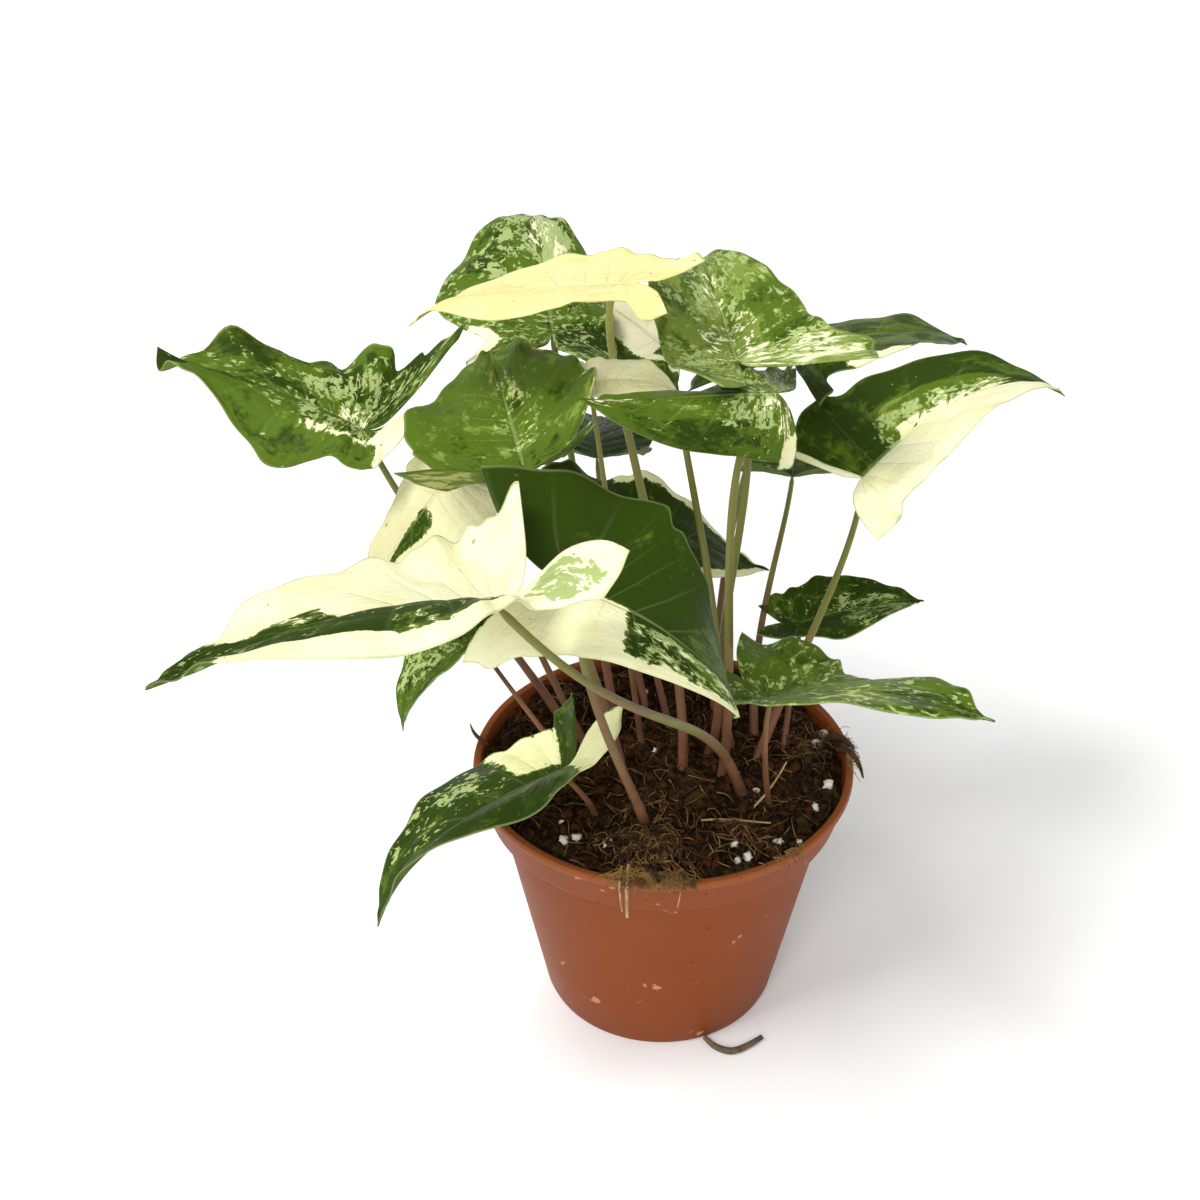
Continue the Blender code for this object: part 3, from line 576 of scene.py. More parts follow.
def blade_point(leaf, side, s, t):
    """Middle surface of a blade in mm; s runs lobe to tip, t rib to margin."""
    length = leaf["length"]
    arch, tip, twist, droop, phase = (math.radians(angle) for angle in leaf["bend"])
    half = leaf["left"] if side < 0 else leaf["right"]
    fold, curl, wave = half[4:]
    edge = curve_through(margin(half), s)
    rib = unit((s - LOBE_SHARE) / (1.0 - LOBE_SHARE)) ** 1.7
    notch = unit(1.0 - s / LOBE_SHARE)
    u = t * edge[..., 0] - 0.085 * np.sin(math.pi * t) * notch
    u = np.maximum(u, 0.003 * t) * length
    v = (rib + t * (edge[..., 1] - rib)) * length
    a = np.linspace(0.0, 1.0, BEND_POINTS)
    step = length / (BEND_POINTS - 1)
    lean = tip * unit((a - 0.72) / 0.28) - arch * a ** 1.4
    run, rise = swept(lean, step)
    ahead = unit(v / length)
    behind = unit(-v / length)
    away, drop = swept(1.12 * droop * unit(a / 0.1), step)
    y = np.interp(ahead, a, run) - np.interp(behind, a, away)
    z = np.interp(ahead, a, rise) - np.interp(behind, a, drop)
    lean = np.interp(ahead, a, lean)
    across = np.linspace(0.0, 0.6 * length, BEND_POINTS)
    bend = np.radians(fold + curl * across / (0.35 * length))
    wide, high = swept(bend, across[1])
    x = np.interp(u, across, wide) * side
    h = np.interp(u, across, high)
    turn = twist * ahead
    x, h = x * np.cos(turn) - h * np.sin(turn), x * np.sin(turn) + h * np.cos(turn)
    ripple = np.sin(4.0 * math.pi * (s - LOBE_SHARE) + phase)
    lift = wave * ripple * t ** 2 * unit(u / (0.25 * length))
    y = y - np.sin(lean) * h
    z = z + np.cos(lean) * h + lift
    right, forward, up = leaf_axes(leaf)
    spot = x[..., None] * right + y[..., None] * forward + z[..., None] * up
    return np.array(leaf["at"]) + spot


def leaf_axes(leaf):
    """Directions to the blade's right, ahead to its tip and up from its face."""
    heading, pitch, roll = (math.radians(angle) for angle in leaf["facing"])
    forward = np.array((
        math.cos(heading) * math.cos(pitch), math.sin(heading) * math.cos(pitch), math.sin(pitch)))
    right = np.array((math.sin(heading), -math.cos(heading), 0.0))
    up = np.cross(right, forward)
    return (
        right * math.cos(roll) - up * math.sin(roll), forward,
        up * math.cos(roll) + right * math.sin(roll))


def box_mask(s, x, patch):
    """How much of a patch covers a place on the blade, soft at its sides."""
    low, high, inner, outer = patch[1:5]
    along = unit((s - low) / 0.05 + 0.5) * unit((high - s) / 0.05 + 0.5)
    across = unit((x - inner) / 0.14 + 0.5) * unit((outer - x) / 0.14 + 0.5)
    if inner == 0.0 or outer == 0.0:
        across = (x >= inner - 0.001) * (x <= outer + 0.001) * 1.0
    return along * across


def blade_pattern(look, s, x):
    """The cream, tone and grey of each place on a blade."""
    layers = {key: np.full(s.shape, float(look[key])) for key in ("cream", "tone", "grey")}
    for patch in look["patches"]:
        share = box_mask(s, x, patch)
        layers[patch[0]] = layers[patch[0]] * (1 - share) + patch[5] * share
    return np.stack([layers["cream"], layers["tone"], layers["grey"]], axis=-1)


def blade_surface(name, look, under):
    """Leaf skin, drawn along the side veins from the rib to the margin."""
    leaf = Surface(name, 0.62 if under else 0.42, 0.05)
    seed = look["seed"]
    u, s, _ = leaf.parts(leaf.node("TexCoord", {}, {}, "UV"))
    signed = u * 2.0 - 1.0
    x = abs(signed)
    layers = leaf.node("Attribute", {"attribute_name": "pattern"}, {}, "Vector")
    cream, tone, grey = leaf.parts(layers)
    streak = leaf.noise(leaf.vector(s * 19.0, signed * 3.6, seed), 1.0, 5.0, 0.68, 0.6)
    fleck = leaf.noise(leaf.vector(s * 44.0, signed * 10.0, seed + 4.0), 1.0, 4.0, 0.62, 0.9)
    blot = leaf.noise(leaf.vector(s * 8.0, signed * 3.2, seed + 9.0), 1.0, 3.0, 0.6, 0.5)
    cloud = leaf.noise(leaf.place(), 70.0)
    edge = cream + (streak - 0.5) * 1.25 + (fleck - 0.5) * 0.8
    creamy = leaf.ease(edge, 0.48, 0.53)
    halo = leaf.ease(edge, 0.32, 0.44)
    speckled = leaf.ease(grey + (fleck - 0.5) * 1.5 + (streak - 0.5) * 1.3, 0.49, 0.56)
    depth = tone + (blot - 0.5) * 1.5 + (fleck - 0.5) * 0.7
    green = leaf.blend(leaf.ease(depth, 0.1, 0.42), GREEN_DARK, GREEN_MID)
    green = leaf.blend(leaf.ease(depth, 0.58, 0.8), green, GREEN_LIGHT)
    green = leaf.blend(halo * 0.5, green, GREEN_LIGHT)
    shade = leaf.blend(leaf.ease(streak + grey * 0.32, 0.52, 0.64), GREEN_LIGHT, GREEN_PALE)
    green = leaf.blend(speckled * 0.9, green, shade)
    # The tints of inner_left and behind_cream paint shade into the pale colour, and that of
    # small_cream paints light.
    tint, deeper = PALE_TINTS_WITH_PAINTED_SHADE_AND_LIGHT.get(name.replace("_under", ""), (CREAM, CREAM_SHADE))
    pale = leaf.blend(leaf.ease(cloud, 0.35, 0.75), tint, deeper)
    skin = leaf.blend(creamy, green, pale)
    phase = leaf.maths("FRACT", s * float(VEIN_PAIRS), 0.0)
    vein = leaf.ease(abs(phase - 0.5) * 2.0, 0.86, 1.0)
    rib = (1.0 - leaf.ease(x, 0.01, 0.045)) * leaf.ease(s, 0.22, 0.27)
    line = leaf.maths("MAXIMUM", vein * (1.0 - x) * 0.35, rib * 0.75)
    skin = leaf.blend(line * 0.4, skin, leaf.blend(creamy, GREEN_PALE, BUTTER_SHADE))
    spots = leaf.noise(leaf.place(), 310.0, 2.0)
    skin = leaf.blend(leaf.ease(spots, 0.735, 0.76) * 0.6, skin, LEAF_SPOT)
    rim = leaf.ease(x, 0.975, 0.995)
    skin = leaf.blend(rim * 0.35, skin, GREEN_PALE)
    if under:
        skin = leaf.blend(0.38, skin, UNDERSIDE)
    leaf.colour(skin)
    pores = leaf.noise(leaf.place(), 900.0, 2.0)
    swell = leaf.noise(leaf.vector(s * 40.0, signed * 16.0, seed), 1.0)
    leaf.relief(pores * 0.08 + swell * 0.8 - line * 1.1, 0.001, 0.6)
    leaf.rough((0.6 if under else 0.4) + (cloud - 0.5) * 0.25)
    return leaf.material


def ruffle(seed, s, x):
    """Uneven waves of a leaf margin, and slow dents over the blade."""
    shift = seed + np.where(x < 0, 1.9, 0.0)
    edge = np.sin(20.7 * s + 2.1 * shift) + 0.7 * np.sin(38.3 * s + 3.7 * shift)
    edge = edge + 0.45 * np.sin(64.7 * s + 5.3 * shift)
    dent = np.sin(9.0 * s + 4.0 * x + seed) * np.sin(7.0 * x - 5.0 * s + 1.7 * seed)
    dent = dent + 0.5 * np.sin(23.0 * s + 5.0 * x + 2.3 * seed) * np.sin(13.0 * x + seed)
    tip = unit((1.0 - s) / 0.15)
    return edge * tip, dent * tip


def make_blade(name, leaf, look):
    """A grid laid along the blade, domed between its veins and given its thickness."""
    top = blade_surface(name, look, False)
    under = blade_surface(name + "_under", look, True)
    bpy.ops.mesh.primitive_grid_add(
        x_subdivisions=2 * BLADE_COLUMNS, y_subdivisions=BLADE_ROWS, size=2.0)
    blade = named("leaf_" + name, top, under)
    flat = places(blade)
    x = flat[:, 0]
    s = (flat[:, 1] + 1.0) / 2.0
    spots = np.zeros((len(s), 3))
    waves, dents = ruffle(look["seed"], s, x)
    crumple = look.get("crumple", USUAL_CRUMPLE)
    reach = np.abs(x) * (1.0 + SCALLOP * crumple * waves * np.abs(x) ** 3)
    for side in (-1, 1):
        half = x * side >= 0
        spots[half] = blade_point(leaf, side, s[half], reach[half])
    rise = (RUFFLE * waves * np.abs(x) ** 2.5 + DENT * dents * np.abs(x)) * crumple
    rise = rise + look.get("hook", 0.0) * unit((s - 0.84) / 0.16) ** 2
    swell = np.abs(np.sin(math.pi * VEIN_PAIRS * s)) ** 0.7 * VEIN_SWELL
    swell = swell * np.sin(math.pi * unit(np.abs(x))) ** 0.6
    swell = swell - RIB_GROOVE * np.exp(-(x / 0.05) ** 2)
    up = leaf_axes(leaf)[2] * leaf["length"] / USUAL_LENGTH
    spots = spots + (rise + swell)[:, None] * up
    move_to(blade, spots * MM)
    pattern = blade.data.attributes.new("pattern", "FLOAT_VECTOR", "POINT")
    pattern.data.foreach_set("vector", blade_pattern(look, s, x).ravel())
    bpy.ops.object.mode_set(mode="EDIT")
    bpy.ops.mesh.select_all(action="SELECT")
    bpy.ops.mesh.remove_doubles(threshold=0.02 * MM)
    bpy.ops.object.mode_set(mode="OBJECT")
    shell = blade.modifiers.new("thickness", "SOLIDIFY")
    shell.thickness = BLADE_THICK * MM
    shell.offset = 0.0
    shell.material_offset = 1
    shell.material_offset_rim = 0
    apply(blade)
    return finished(blade, node_slot["blade_" + name], "blade_" + name)


def stalk_surface():
    """Pinkish brown at the soil, olive along its length and green under the blade."""
    stalk = Surface("leaf_stalk", 0.45, 0.25)
    place = stalk.place()
    height = stalk.parts(place)[2] * (1.0 / MM)
    patch = stalk.noise(place, 60.0)
    lines = stalk.noise(place, 420.0, 3.0, 0.65)
    low = 1.0 - stalk.ease(height + (patch - 0.5) * 60.0, 92.0, 142.0)
    across, along, _ = stalk.parts(place * (1.0 / MM))
    away = stalk.ease(across * across + along * along, 900.0, 2200.0)
    high = stalk.ease(height + away * 55.0 + (patch - 0.5) * 50.0, 165.0, 205.0)
    skin = stalk.blend(low, STALK_OLIVE, STALK_PINK)
    skin = stalk.blend(stalk.ease(patch, 0.48, 0.56) * 0.4, skin, STALK_BLOTCH)
    skin = stalk.blend(high * 0.8, skin, STALK_GREEN)
    skin = stalk.blend(stalk.ease(height, 212.0, 235.0), skin, STALK_TOP)
    skin = stalk.blend(stalk.ease(lines, 0.55, 0.8) * 0.35, skin, STALK_LINE)
    stalk.colour(skin)
    stalk.relief(lines, 0.0004, 0.5)
    return stalk.material


def make_stalk(name, leaf, skin):
    """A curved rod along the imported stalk, joined to the blade above and set in the soil."""
    up = Vector(leaf_axes(leaf)[2])
    first, second, foot = leaf["stem"]
    top, low = (STALK_SLIM * size for size in leaf["thick"])
    start = Vector(leaf["at"]) - up * STALK_GAP
    end = Vector((foot[0], foot[1], SOIL_EDGE - STALK_SINK))
    bpy.ops.curve.primitive_bezier_curve_add()
    rod = bpy.context.object
    shape = rod.data
    shape.dimensions = "3D"
    shape.resolution_u = STALK_STEPS
    shape.bevel_depth = MM
    shape.bevel_resolution = 3
    shape.use_fill_caps = True
    spline = shape.splines[0]
    for knot, spot, out, back, radius in (
            (spline.bezier_points[0], start, Vector(first), start * 2 - Vector(first), top),
            (spline.bezier_points[1], end, end * 2 - Vector(second), Vector(second), low)):
        knot.handle_left_type = knot.handle_right_type = "FREE"
        knot.co = spot * MM
        knot.handle_right = out * MM
        knot.handle_left = back * MM
        knot.radius = radius
    bpy.ops.object.convert(target="MESH")
    rod = named("stalk_" + name, skin)
    spots = places(rod) / MM
    near = unit((spots[:, 2] - SOIL_EDGE - 2.0) / SHEATH_HEIGHT)
    sheath = 1.0 + SHEATH_SWELL * (1.0 - near)
    centre = stalk_centre(leaf, start, end, spots)
    to_blade = np.linalg.norm(centre - np.array(start), axis=1)
    neck = unit(to_blade / NECK_LENGTH)
    sheath = sheath * (NECK_SLIM + (1.0 - NECK_SLIM) * neck)
    spots = centre + (spots - centre) * sheath[:, None]
    move_to(rod, spots * MM)
    return finished(rod, "leaf_stem", "stem_" + name)


def stalk_centre(leaf, start, end, spots):
    """The nearest place on the stalk's middle line for each spot."""
    t = np.linspace(0.0, 1.0, 160)[:, None]
    first, second = leaf["stem"][:2]
    line = (1 - t) ** 3 * np.array(start) + 3 * (1 - t) ** 2 * t * np.array(first)
    line = line + 3 * (1 - t) * t * t * np.array(second) + t ** 3 * np.array(end)
    gap = ((spots[:, None, :] - line[None]) ** 2).sum(axis=2)
    return line[gap.argmin(axis=1)]


def outer_radius(height):
    """The pot's outer radius under the rim band."""
    top = POT_HEIGHT - RIM_BAND - BAND_STEP
    return BASE_RADIUS + (BODY_TOP_RADIUS - BASE_RADIUS) * height / top


def pot_rings():
    """(radius, height) from the middle of the base, up the outside and down inside."""
    band = POT_HEIGHT - RIM_BAND
    step = band - BAND_STEP
    foot = [(BASE_RADIUS - 1.4, 0.0), (BASE_RADIUS - 0.4, 0.4), (outer_radius(2.0) - 0.2, 2.0)]
    side = [(outer_radius(height), height) for height in (2.6, 24.0, 48.0, step - 1.5)]
    ledge = [(BODY_TOP_RADIUS, step), (BODY_TOP_RADIUS + 0.8, step + 0.7)]
    ledge += [
        (BAND_LOW_RADIUS + out, band + up)
        for out, up in ((-1.4, -0.7), (-0.3, 0.0), (0.0, 0.6), (0.35, 1.6))]
    lip = [
        (RIM_RADIUS - inward, POT_HEIGHT - down) for inward, down in (
            (1.1, 4.0), (0.85, 3.2), (0.25, 2.6), (0.0, 1.9), (0.0, 0.8), (0.3, 0.2), (0.8, 0.0),
            (LIP - 0.5, 0.0), (LIP, 0.4), (LIP + 0.2, 1.4))]
    inside = [
        (BAND_LOW_RADIUS - WALL - 0.4, band + 0.8), (BODY_TOP_RADIUS - WALL, step),
        (outer_radius(FLOOR + 2.0) - WALL, FLOOR + 2.0), (outer_radius(FLOOR) - WALL - 1.6, FLOOR)]
    return foot + side + ledge + lip + inside


def pot_surface():
    """Clouded plastic, with a painted highlight on the lip, specks of soil and water marks."""
    pot = Surface("pot_plastic", 0.5, 0.12)
    place = pot.place()
    height = pot.parts(place)[2] * (1.0 / MM)
    cloud = pot.noise(place, 38.0, 4.0)
    grain = pot.noise(place, 1400.0, 2.0)
    dirt = pot.noise(place, 330.0, 4.0, 0.7)
    water = pot.noise(place, 150.0, 2.0)
    skin = pot.blend(pot.ease(cloud, 0.3, 0.8) * 0.35, TERRACOTTA, TERRACOTTA_DULL)
    # painted highlight: the top of the lip is made paler where light falls on it
    lip = pot.ease(height, POT_HEIGHT - 3.4, POT_HEIGHT - 1.6)
    skin = pot.blend(lip * 0.45, skin, TERRACOTTA_PAINTED_HIGHLIGHT)
    upper = pot.ease(height, 60.0, POT_HEIGHT) * 0.035
    specks = pot.ease(dirt + upper, 0.675, 0.715)
    skin = pot.blend(specks * 0.85, skin, POT_DIRT)
    marks = pot.ease(water, 0.715, 0.75)
    skin = pot.blend(marks * 0.6, skin, WATER_MARK)
    pot.colour(skin)
    pot.rough(0.48 + specks * 0.35 + (cloud - 0.5) * 0.18)
    pot.relief(grain * 0.2 + specks * 1.2, 0.0005, 0.35)
    return pot.material


def make_pot():
    """A ring drawn up the outside and down the inside, then drilled."""
    rings = pot_rings()
    radius, height = rings[0]
    bpy.ops.mesh.primitive_circle_add(
        vertices=POT_SIDES, radius=radius * MM, location=(0.0, 0.0, height * MM))
    pot = named("nursery_pot", pot_surface())
    bpy.ops.object.mode_set(mode="EDIT")
    bpy.ops.mesh.select_all(action="SELECT")
    for wider, higher in rings[1:]:
        bpy.ops.mesh.extrude_region_move(
            TRANSFORM_OT_translate={"value": (0.0, 0.0, (higher - height) * MM)})
        bpy.ops.transform.resize(
            value=(wider / radius, wider / radius, 1.0), center_override=(0.0, 0.0, higher * MM))
        radius, height = wider, higher
    bpy.ops.mesh.edge_face_add()
    bpy.ops.mesh.select_all(action="DESELECT")
    bpy.ops.mesh.select_non_manifold(use_wire=False, use_multi_face=False)
    bpy.ops.mesh.edge_face_add()
    bpy.ops.mesh.select_all(action="SELECT")
    bpy.ops.mesh.normals_make_consistent(inside=False)
    bpy.ops.object.mode_set(mode="OBJECT")
    drill = make_drills()
    deselect()
    activate(pot)
    holes = pot.modifiers.new("drain", "BOOLEAN")
    holes.operation = "DIFFERENCE"
    holes.solver = "EXACT"
    holes.object = drill
    apply(pot)
    bpy.data.objects.remove(drill, do_unlink=True)
    finished(pot, "pot_plastic", "pot")
    activate(pot)
    bpy.ops.object.shade_smooth_by_angle(angle=math.radians(40.0))
    deselect()


def make_drills():
    """One tool of rods, to drill the drain holes."""
    drills = []
    for k in range(DRAIN_COUNT):
        spot = toward(DRAIN_CIRCLE * MM, 360.0 * (k + 0.5) / DRAIN_COUNT)
        bpy.ops.mesh.primitive_cylinder_add(
            vertices=32, radius=DRAIN_RADIUS * MM, depth=6.0 * MM, location=(*spot, 0.0))
        drills.append(bpy.context.object)
    for drill in drills:
        drill.select_set(True)
    bpy.ops.object.join()
    return bpy.context.object


def soil_height(x, y):
    """The packed soil's top, mm."""
    r = math.hypot(x, y) / RIM_RADIUS
    mound = SOIL_MOUND * (1.0 - r * r)
    lump = math.sin(0.19 * x + 1.1) * math.cos(0.23 * y - 0.4)
    lump += 0.6 * math.sin(0.41 * x - 0.33 * y + 2.0)
    return SOIL_EDGE + mound + SOIL_LUMP * lump * 0.5


def rough_height(x, y):
    """The loose top of the soil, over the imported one."""
    spot = Vector((x, y, 0.0))
    lumps = noise.fractal(spot * 0.11, 0.9, 2.2, 4) * 3.2
    crumb = noise.fractal(spot * 0.55 + Vector((9.0, 3.0, 1.0)), 0.9, 2.0, 3) * 1.1
    clod = CLOD_HEIGHT * math.exp(-((x - CLOD[0]) ** 2 + (y - CLOD[1]) ** 2) / CLOD_REACH ** 2)
    return soil_height(x, y) + SOIL_COVER + clod + max(lumps + crumb, -SOIL_COVER + 0.2)


def soil_surface():
    """Dark peat with lighter crumbs, pale flecks and a little moss."""
    soil = Surface("potting_soil", 0.95, 0.1)
    place = soil.place()
    cloud = soil.noise(place, 90.0, 4.0)
    crumb = soil.noise(place, 520.0, 5.0, 0.7)
    skin = soil.blend(soil.ease(crumb * 0.7 + cloud * 0.3, 0.4, 0.68), PEAT_DARK, PEAT_LIGHT)
    fleck = soil.noise(place, 780.0, 2.0)
    skin = soil.blend(soil.ease(fleck, 0.7, 0.75) * 0.8, skin, PEAT_FLECK)
    moss = soil.noise(place, 130.0, 4.0, 0.6)
    skin = soil.blend(soil.ease(moss, 0.56, 0.64) * 0.7, skin, MOSS)
    soil.colour(skin)
    soil.relief(crumb, 0.0022, 0.9)
    return soil.material


def make_soil(skin):
    """A square grid rounded to the pot's width, its rim turned down against the wall."""
    bpy.ops.mesh.primitive_grid_add(x_subdivisions=SOIL_CELLS, y_subdivisions=SOIL_CELLS, size=2.0)
    top = named("soil_top", skin)
    flat = places(top)
    a, b = flat[:, 0], flat[:, 1]
    x = a * np.sqrt(1.0 - b * b / 2.0) * SOIL_REACH
    y = b * np.sqrt(1.0 - a * a / 2.0) * SOIL_REACH
    z = np.array([rough_height(p, q) for p, q in zip(x, y)])
    away = np.hypot(x, y)
    z = np.where(away > SOIL_REACH - 0.3, SOIL_EDGE - 3.0, z)
    z = z - 0.8 * unit((away - SOIL_REACH + 4.0) / 4.0)
    squeeze = np.where(z < SOIL_EDGE - 1.0, (SOIL_REACH - 1.4) / SOIL_REACH, 1.0)
    move_to(top, np.column_stack([x * squeeze, y * squeeze, z]) * MM)
    shell = top.modifiers.new("depth", "SOLIDIFY")
    shell.thickness = SOIL_SHEET * MM
    shell.offset = -1.0
    apply(top)
    finished(top, "potting_soil")


def toward(away, turn):
    """A step of a given length, in a direction in degrees from +X."""
    return away * math.cos(math.radians(turn)), away * math.sin(math.radians(turn))


def spread(rng, reach):
    """A random place on the soil."""
    turn = rng.uniform(0.0, 360.0)
    return toward(reach * math.sqrt(rng.random()), turn)


def repeated(name, shape, copies, skin, slot):
    """One mesh of many turned, scaled and moved copies of a shape."""
    faces = np.array([p.vertices[:] for p in shape.data.polygons])
    spots = places(shape)
    placed = []
    joined = []
    for matrix, move in copies:
        joined.append(faces + len(spots) * len(placed))
        placed.append(spots @ matrix.T + move)
    mesh = bpy.data.meshes.new(name)
    mesh.from_pydata(np.vstack(placed).tolist(), [], np.vstack(joined).tolist())
    bpy.data.objects.remove(shape, do_unlink=True)
    piece = add_object(name, mesh)
    mesh.materials.append(skin)
    return finished(piece, slot)


def lump_shape(seed, vary):
    """A small knobbly lump of unit size."""
    bpy.ops.mesh.primitive_ico_sphere_add(subdivisions=2, radius=1.0)
    lump = bpy.context.object
    spots = places(lump)
    for k, spot in enumerate(spots):
        spots[k] = spot * (1.0 + vary * noise.noise(Vector(spot) * 1.3 + Vector((seed, 0, 0))))
    move_to(lump, spots)
    return lump


def turned_matrix(rng, size):
    """A random turn of a lump that is flatter than it is long."""
    angles = [rng.uniform(0.0, math.pi) for _ in range(3)]
    turn = Matrix.Rotation(angles[0], 3, "Z") @ Matrix.Rotation(angles[1], 3, "X")
    turn = np.array(turn @ Matrix.Rotation(angles[2], 3, "Z"))
    return turn * size * np.array([1.0, rng.uniform(0.7, 1.1), 0.75])


def make_crumbs(skin):
    """Small lumps of peat strewn over the loose soil."""
    rng = random.Random(11)
    copies = []
    for _ in range(CRUMB_COUNT):
        x, y = spread(rng, SOIL_REACH - 2.5)
        size = rng.uniform(0.5, 1.6) ** 1.7
        spot = np.array((x, y, rough_height(x, y) + 0.2 * size)) * MM
        copies.append((turned_matrix(rng, size * MM), spot))
    repeated("soil_crumbs", lump_shape(2.0, 0.9), copies, skin, "potting_soil")


def perlite_surface():
    grain = Surface("perlite_grain", 0.85)
    cloud = grain.noise(grain.place(), 500.0)
    grain.colour(grain.blend(grain.ease(cloud, 0.4, 0.8), PERLITE, PERLITE_SHADE))
    grain.relief(cloud, 0.0006, 0.6)
    return grain.material


def make_perlite():
    rng = random.Random(5)
    copies = []
    for x, y in PERLITE_SPOTS:
        size = rng.uniform(0.9, 1.8)
        spot = np.array((x, y, rough_height(x, y) + 1.2)) * MM
        copies.append((turned_matrix(rng, size * MM), spot))
    repeated("perlite_grains", lump_shape(7.0, 0.9), copies, perlite_surface(), "potting_soil")


def strands(name, paths, thickness, skin, slot, *nodes):
    """Thin round strands, each through its own points in mm."""
    shape = bpy.data.curves.new(name, "CURVE")
    shape.dimensions = "3D"
    shape.resolution_u = 4
    shape.bevel_depth = thickness * MM
    shape.bevel_resolution = 1
    shape.use_fill_caps = True
    for path in paths:
        spline = shape.splines.new("NURBS")
        spline.points.add(len(path) - 1)
        spline.order_u = min(4, len(path))
        spline.use_endpoint_u = True
        for k, spot in enumerate(path):
            spline.points[k].co = (*(c * MM for c in spot[:3]), 1.0)
            spline.points[k].radius = spot[3] if len(spot) > 3 else 1.0
    piece = add_object(name, shape)
    activate(piece)
    bpy.ops.object.convert(target="MESH")
    piece = named(name, skin)
    return finished(piece, slot, *nodes)


def loose_surface(name):
    """The clouded finish of a small loose bit."""
    colour, dark, scale, roughness, shine = LOOSE_FINISHES[name]
    made = Surface(name, roughness, shine)
    cloud = made.noise(made.place(), scale)
    made.colour(made.blend(made.ease(cloud, 0.35, 0.7), colour, dark))
    made.relief(cloud, 0.0004, 0.6)
    return made.material


def fibre_path(rng, x, y, reach, lift):
    """A short curled fibre lying on the soil from x, y."""
    turn = rng.uniform(0.0, 360.0)
    bend = math.degrees(rng.uniform(-1.6, 1.6))
    path = []
    for k in range(4):
        ahead = toward(reach * k / 3, turn + bend * k / 3)
        px = x + ahead[0]
        py = y + ahead[1]
        if math.hypot(px, py) > SOIL_REACH - 0.6:
            return None
        high = rng.uniform(0.0, lift) + (0.45 * lift if k in (1, 2) else -0.2)
        path.append((px, py, rough_height(px, py) + high, 1.0 - 0.22 * k))
    return path


def make_fibres():
    """Coir over the whole soil and in tufts, half of it golden and half dark."""
    rng = random.Random(23)
    paths = []
    for _ in range(FIBRE_COUNT):
        spot = spread(rng, SOIL_REACH - 2.0)
        paths.append(fibre_path(rng, *spot, rng.uniform(4.0, 12.0), 1.8))
    for x, y, wide, count in TUFTS:
        for _ in range(count):
            spot = (rng.gauss(x, wide), rng.gauss(y, wide * 0.7))
            if math.hypot(*spot) < SOIL_REACH - 1.0:
                paths.append(fibre_path(rng, *spot, rng.uniform(3.0, 8.0), 3.4))
    paths = [path for path in paths if path]
    golden = loose_surface("coir_fibre")
    strands("coir_fibres", paths[::2], FIBRE_RADIUS, golden, "potting_soil")
    dark = loose_surface("dark_coir")
    strands("dark_coir", paths[1::2], DARK_FIBRE_RADIUS, dark, "potting_soil")


def make_overhang():
    """Coir and straw hanging over the pot's rim, and the bark at its right and left."""
    rng = random.Random(31)
    paths = []
    for _ in range(RIM_FIBRE_COUNT):
        turn = rng.uniform(-103.0, -81.0)
        away = RIM_RADIUS - rng.uniform(1.0, 5.0)
        drop = rng.uniform(0.0, 3.2)
        path = []
        for k in range(4):
            out = away + k * rng.uniform(0.8, 2.0)
            high = POT_HEIGHT + rng.uniform(0.5, 3.0) - drop * (k / 3) ** 2
            path.append((*toward(out, turn), high, 1.0 - 0.2 * k))
            turn += rng.uniform(-3.5, 3.5)
        paths.append(path)
    for middle in SIDE_FIBRES:
        turn = rng.gauss(middle, 4.5)
        path = []
        for k in range(4):
            out = RIM_RADIUS - 2.0 + k * rng.uniform(0.9, 1.6)
            high = POT_HEIGHT + 1.2 - 0.5 * k * rng.uniform(0.4, 2.0)
            path.append((*toward(out, turn), high, 0.8 - 0.15 * k))
            turn += rng.uniform(-3.0, 3.0)
        paths.append(path)
    for name, finish, lines, radius in (
            ("hanging_coir", "hanging_coir", paths, FIBRE_RADIUS),
            ("straws", "straw", STRAWS, STRAW_RADIUS),
            ("bark_bits", "bark_bits", BARKS, BARK_RADIUS)):
        strands(name, lines, radius, loose_surface(finish), "potting_soil")


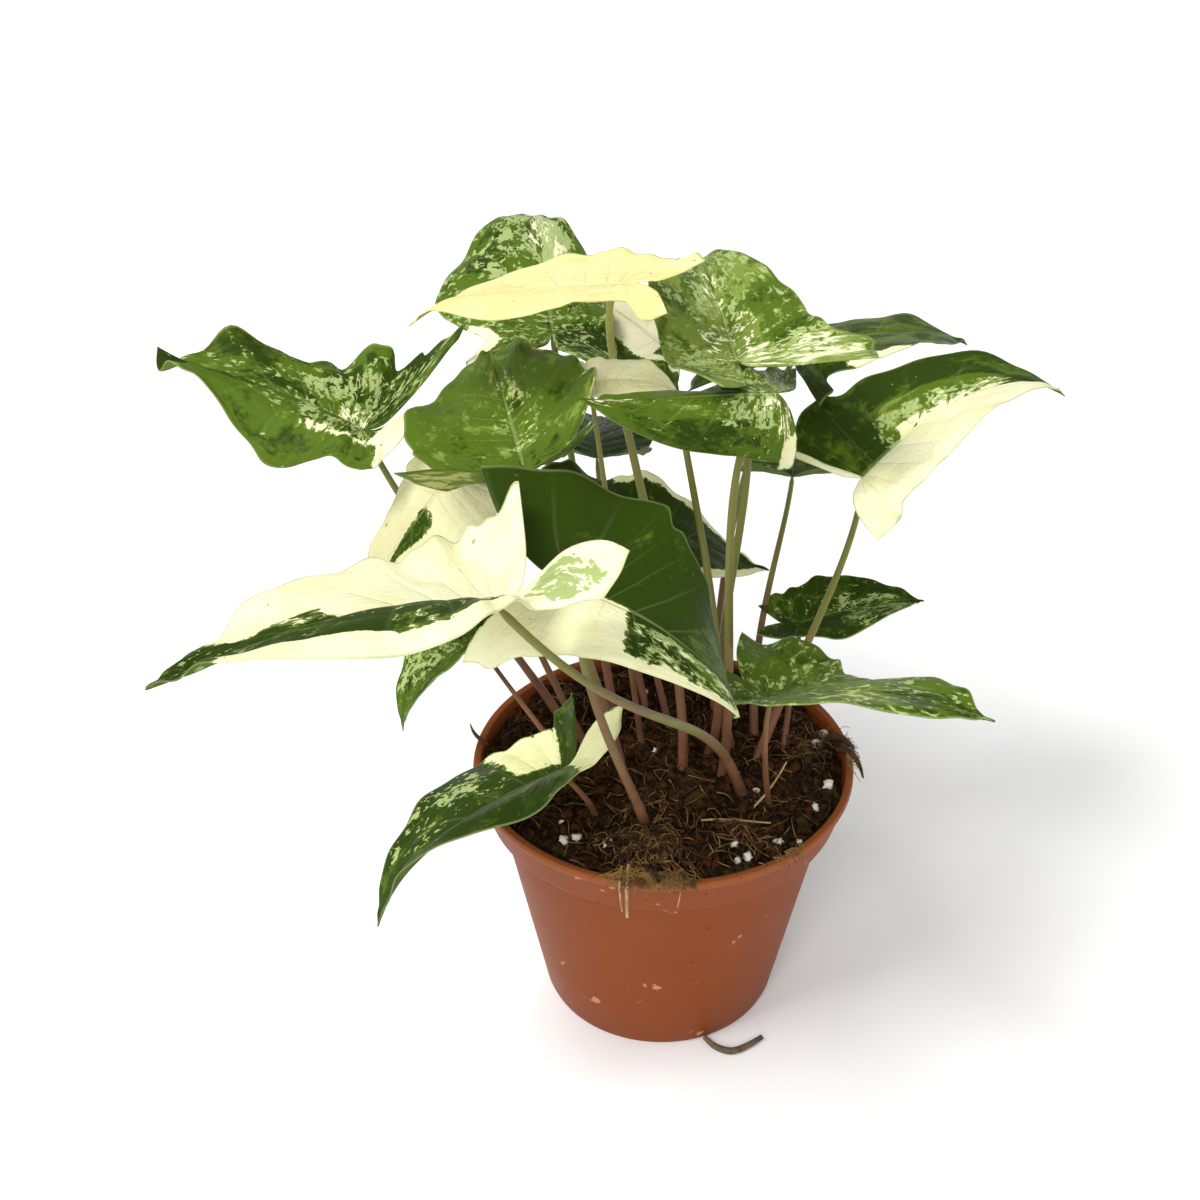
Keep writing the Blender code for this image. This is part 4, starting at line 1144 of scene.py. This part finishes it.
def make_root():
    """The loose root, thickest in its middle."""
    s = np.linspace(0.0, 1.0, 14)
    path = curve_through(STRAY_ROOT, s)
    lift = STRAY_ROOT_RADIUS + 0.05
    skin = loose_surface("dry_root")
    points = [(p[0], p[1], lift, 0.75 + 0.25 * math.sin(math.pi * k)) for p, k in zip(path, s)]
    strands("loose_root", [points], STRAY_ROOT_RADIUS, skin, "dry_root", "stray_root")


def make_stage():
    bpy.ops.mesh.primitive_plane_add(size=FLOOR_SIZE)
    floor = bpy.context.object
    floor.name = "floor"
    pale = Surface("pale_floor", 0.9)
    pale.colour(FLOOR_WHITE)
    floor.data.materials.append(pale.material)
    deselect()


def sun_light(name, towards, width, power):
    """A wide, even lamp a long way off, in the given direction from the plant."""
    data = bpy.data.lights.new(name, "SUN")
    data.angle = math.radians(width)
    data.energy = power
    lamp = add_object(name, data)
    lamp.rotation_euler = (-Vector(towards)).to_track_quat("-Z", "Y").to_euler()


def make_light():
    """A white room, a high key lamp from the left and a weaker one from the front."""
    world = bpy.data.worlds.new("studio")
    bpy.context.scene.world = world
    world.use_nodes = True
    backdrop = world.node_tree.nodes["Background"]
    backdrop.inputs["Color"].default_value = (1.0, 1.0, 1.0, 1.0)
    backdrop.inputs["Strength"].default_value = ROOM_LIGHT
    sun_light("key", (-0.6, -0.38, 1.12), 26.0, 2.35)
    sun_light("front", (-0.15, -1.0, 0.75), 30.0, 1.25)
    bpy.context.scene.view_settings.view_transform = "Standard"


def make_camera():
    data = bpy.data.cameras.new("camera")
    data.sensor_width = CAMERA_SENSOR
    data.lens = CAMERA_LENS
    camera = add_object("camera", data)
    camera.location = CAMERA_PLACE
    camera.rotation_euler = (math.radians(90.0 - CAMERA_DOWN), 0.0, math.radians(CAMERA_TURN))
    bpy.context.scene.camera = camera


make_camera()
deselect()
node_slot = {part["node"]: part["material_slot"] for part in frame["record"]["subparts"]}
make_pot()
peat = soil_surface()
packed_soil = frame["nodes"]["soil"].data
packed_soil.materials.clear()
packed_soil.materials.append(peat)
make_soil(peat)
make_crumbs(loose_surface("peat_crumb"))
make_perlite()
make_fibres()
make_overhang()
make_root()
stalk_skin = stalk_surface()
for number, (name, leaf) in enumerate(LEAVES.items()):
    look = dict(LOOKS[name], seed=3.7 * number)
    make_blade(name, leaf, look)
    make_stalk(name, leaf, stalk_skin)
make_stage()
make_light()
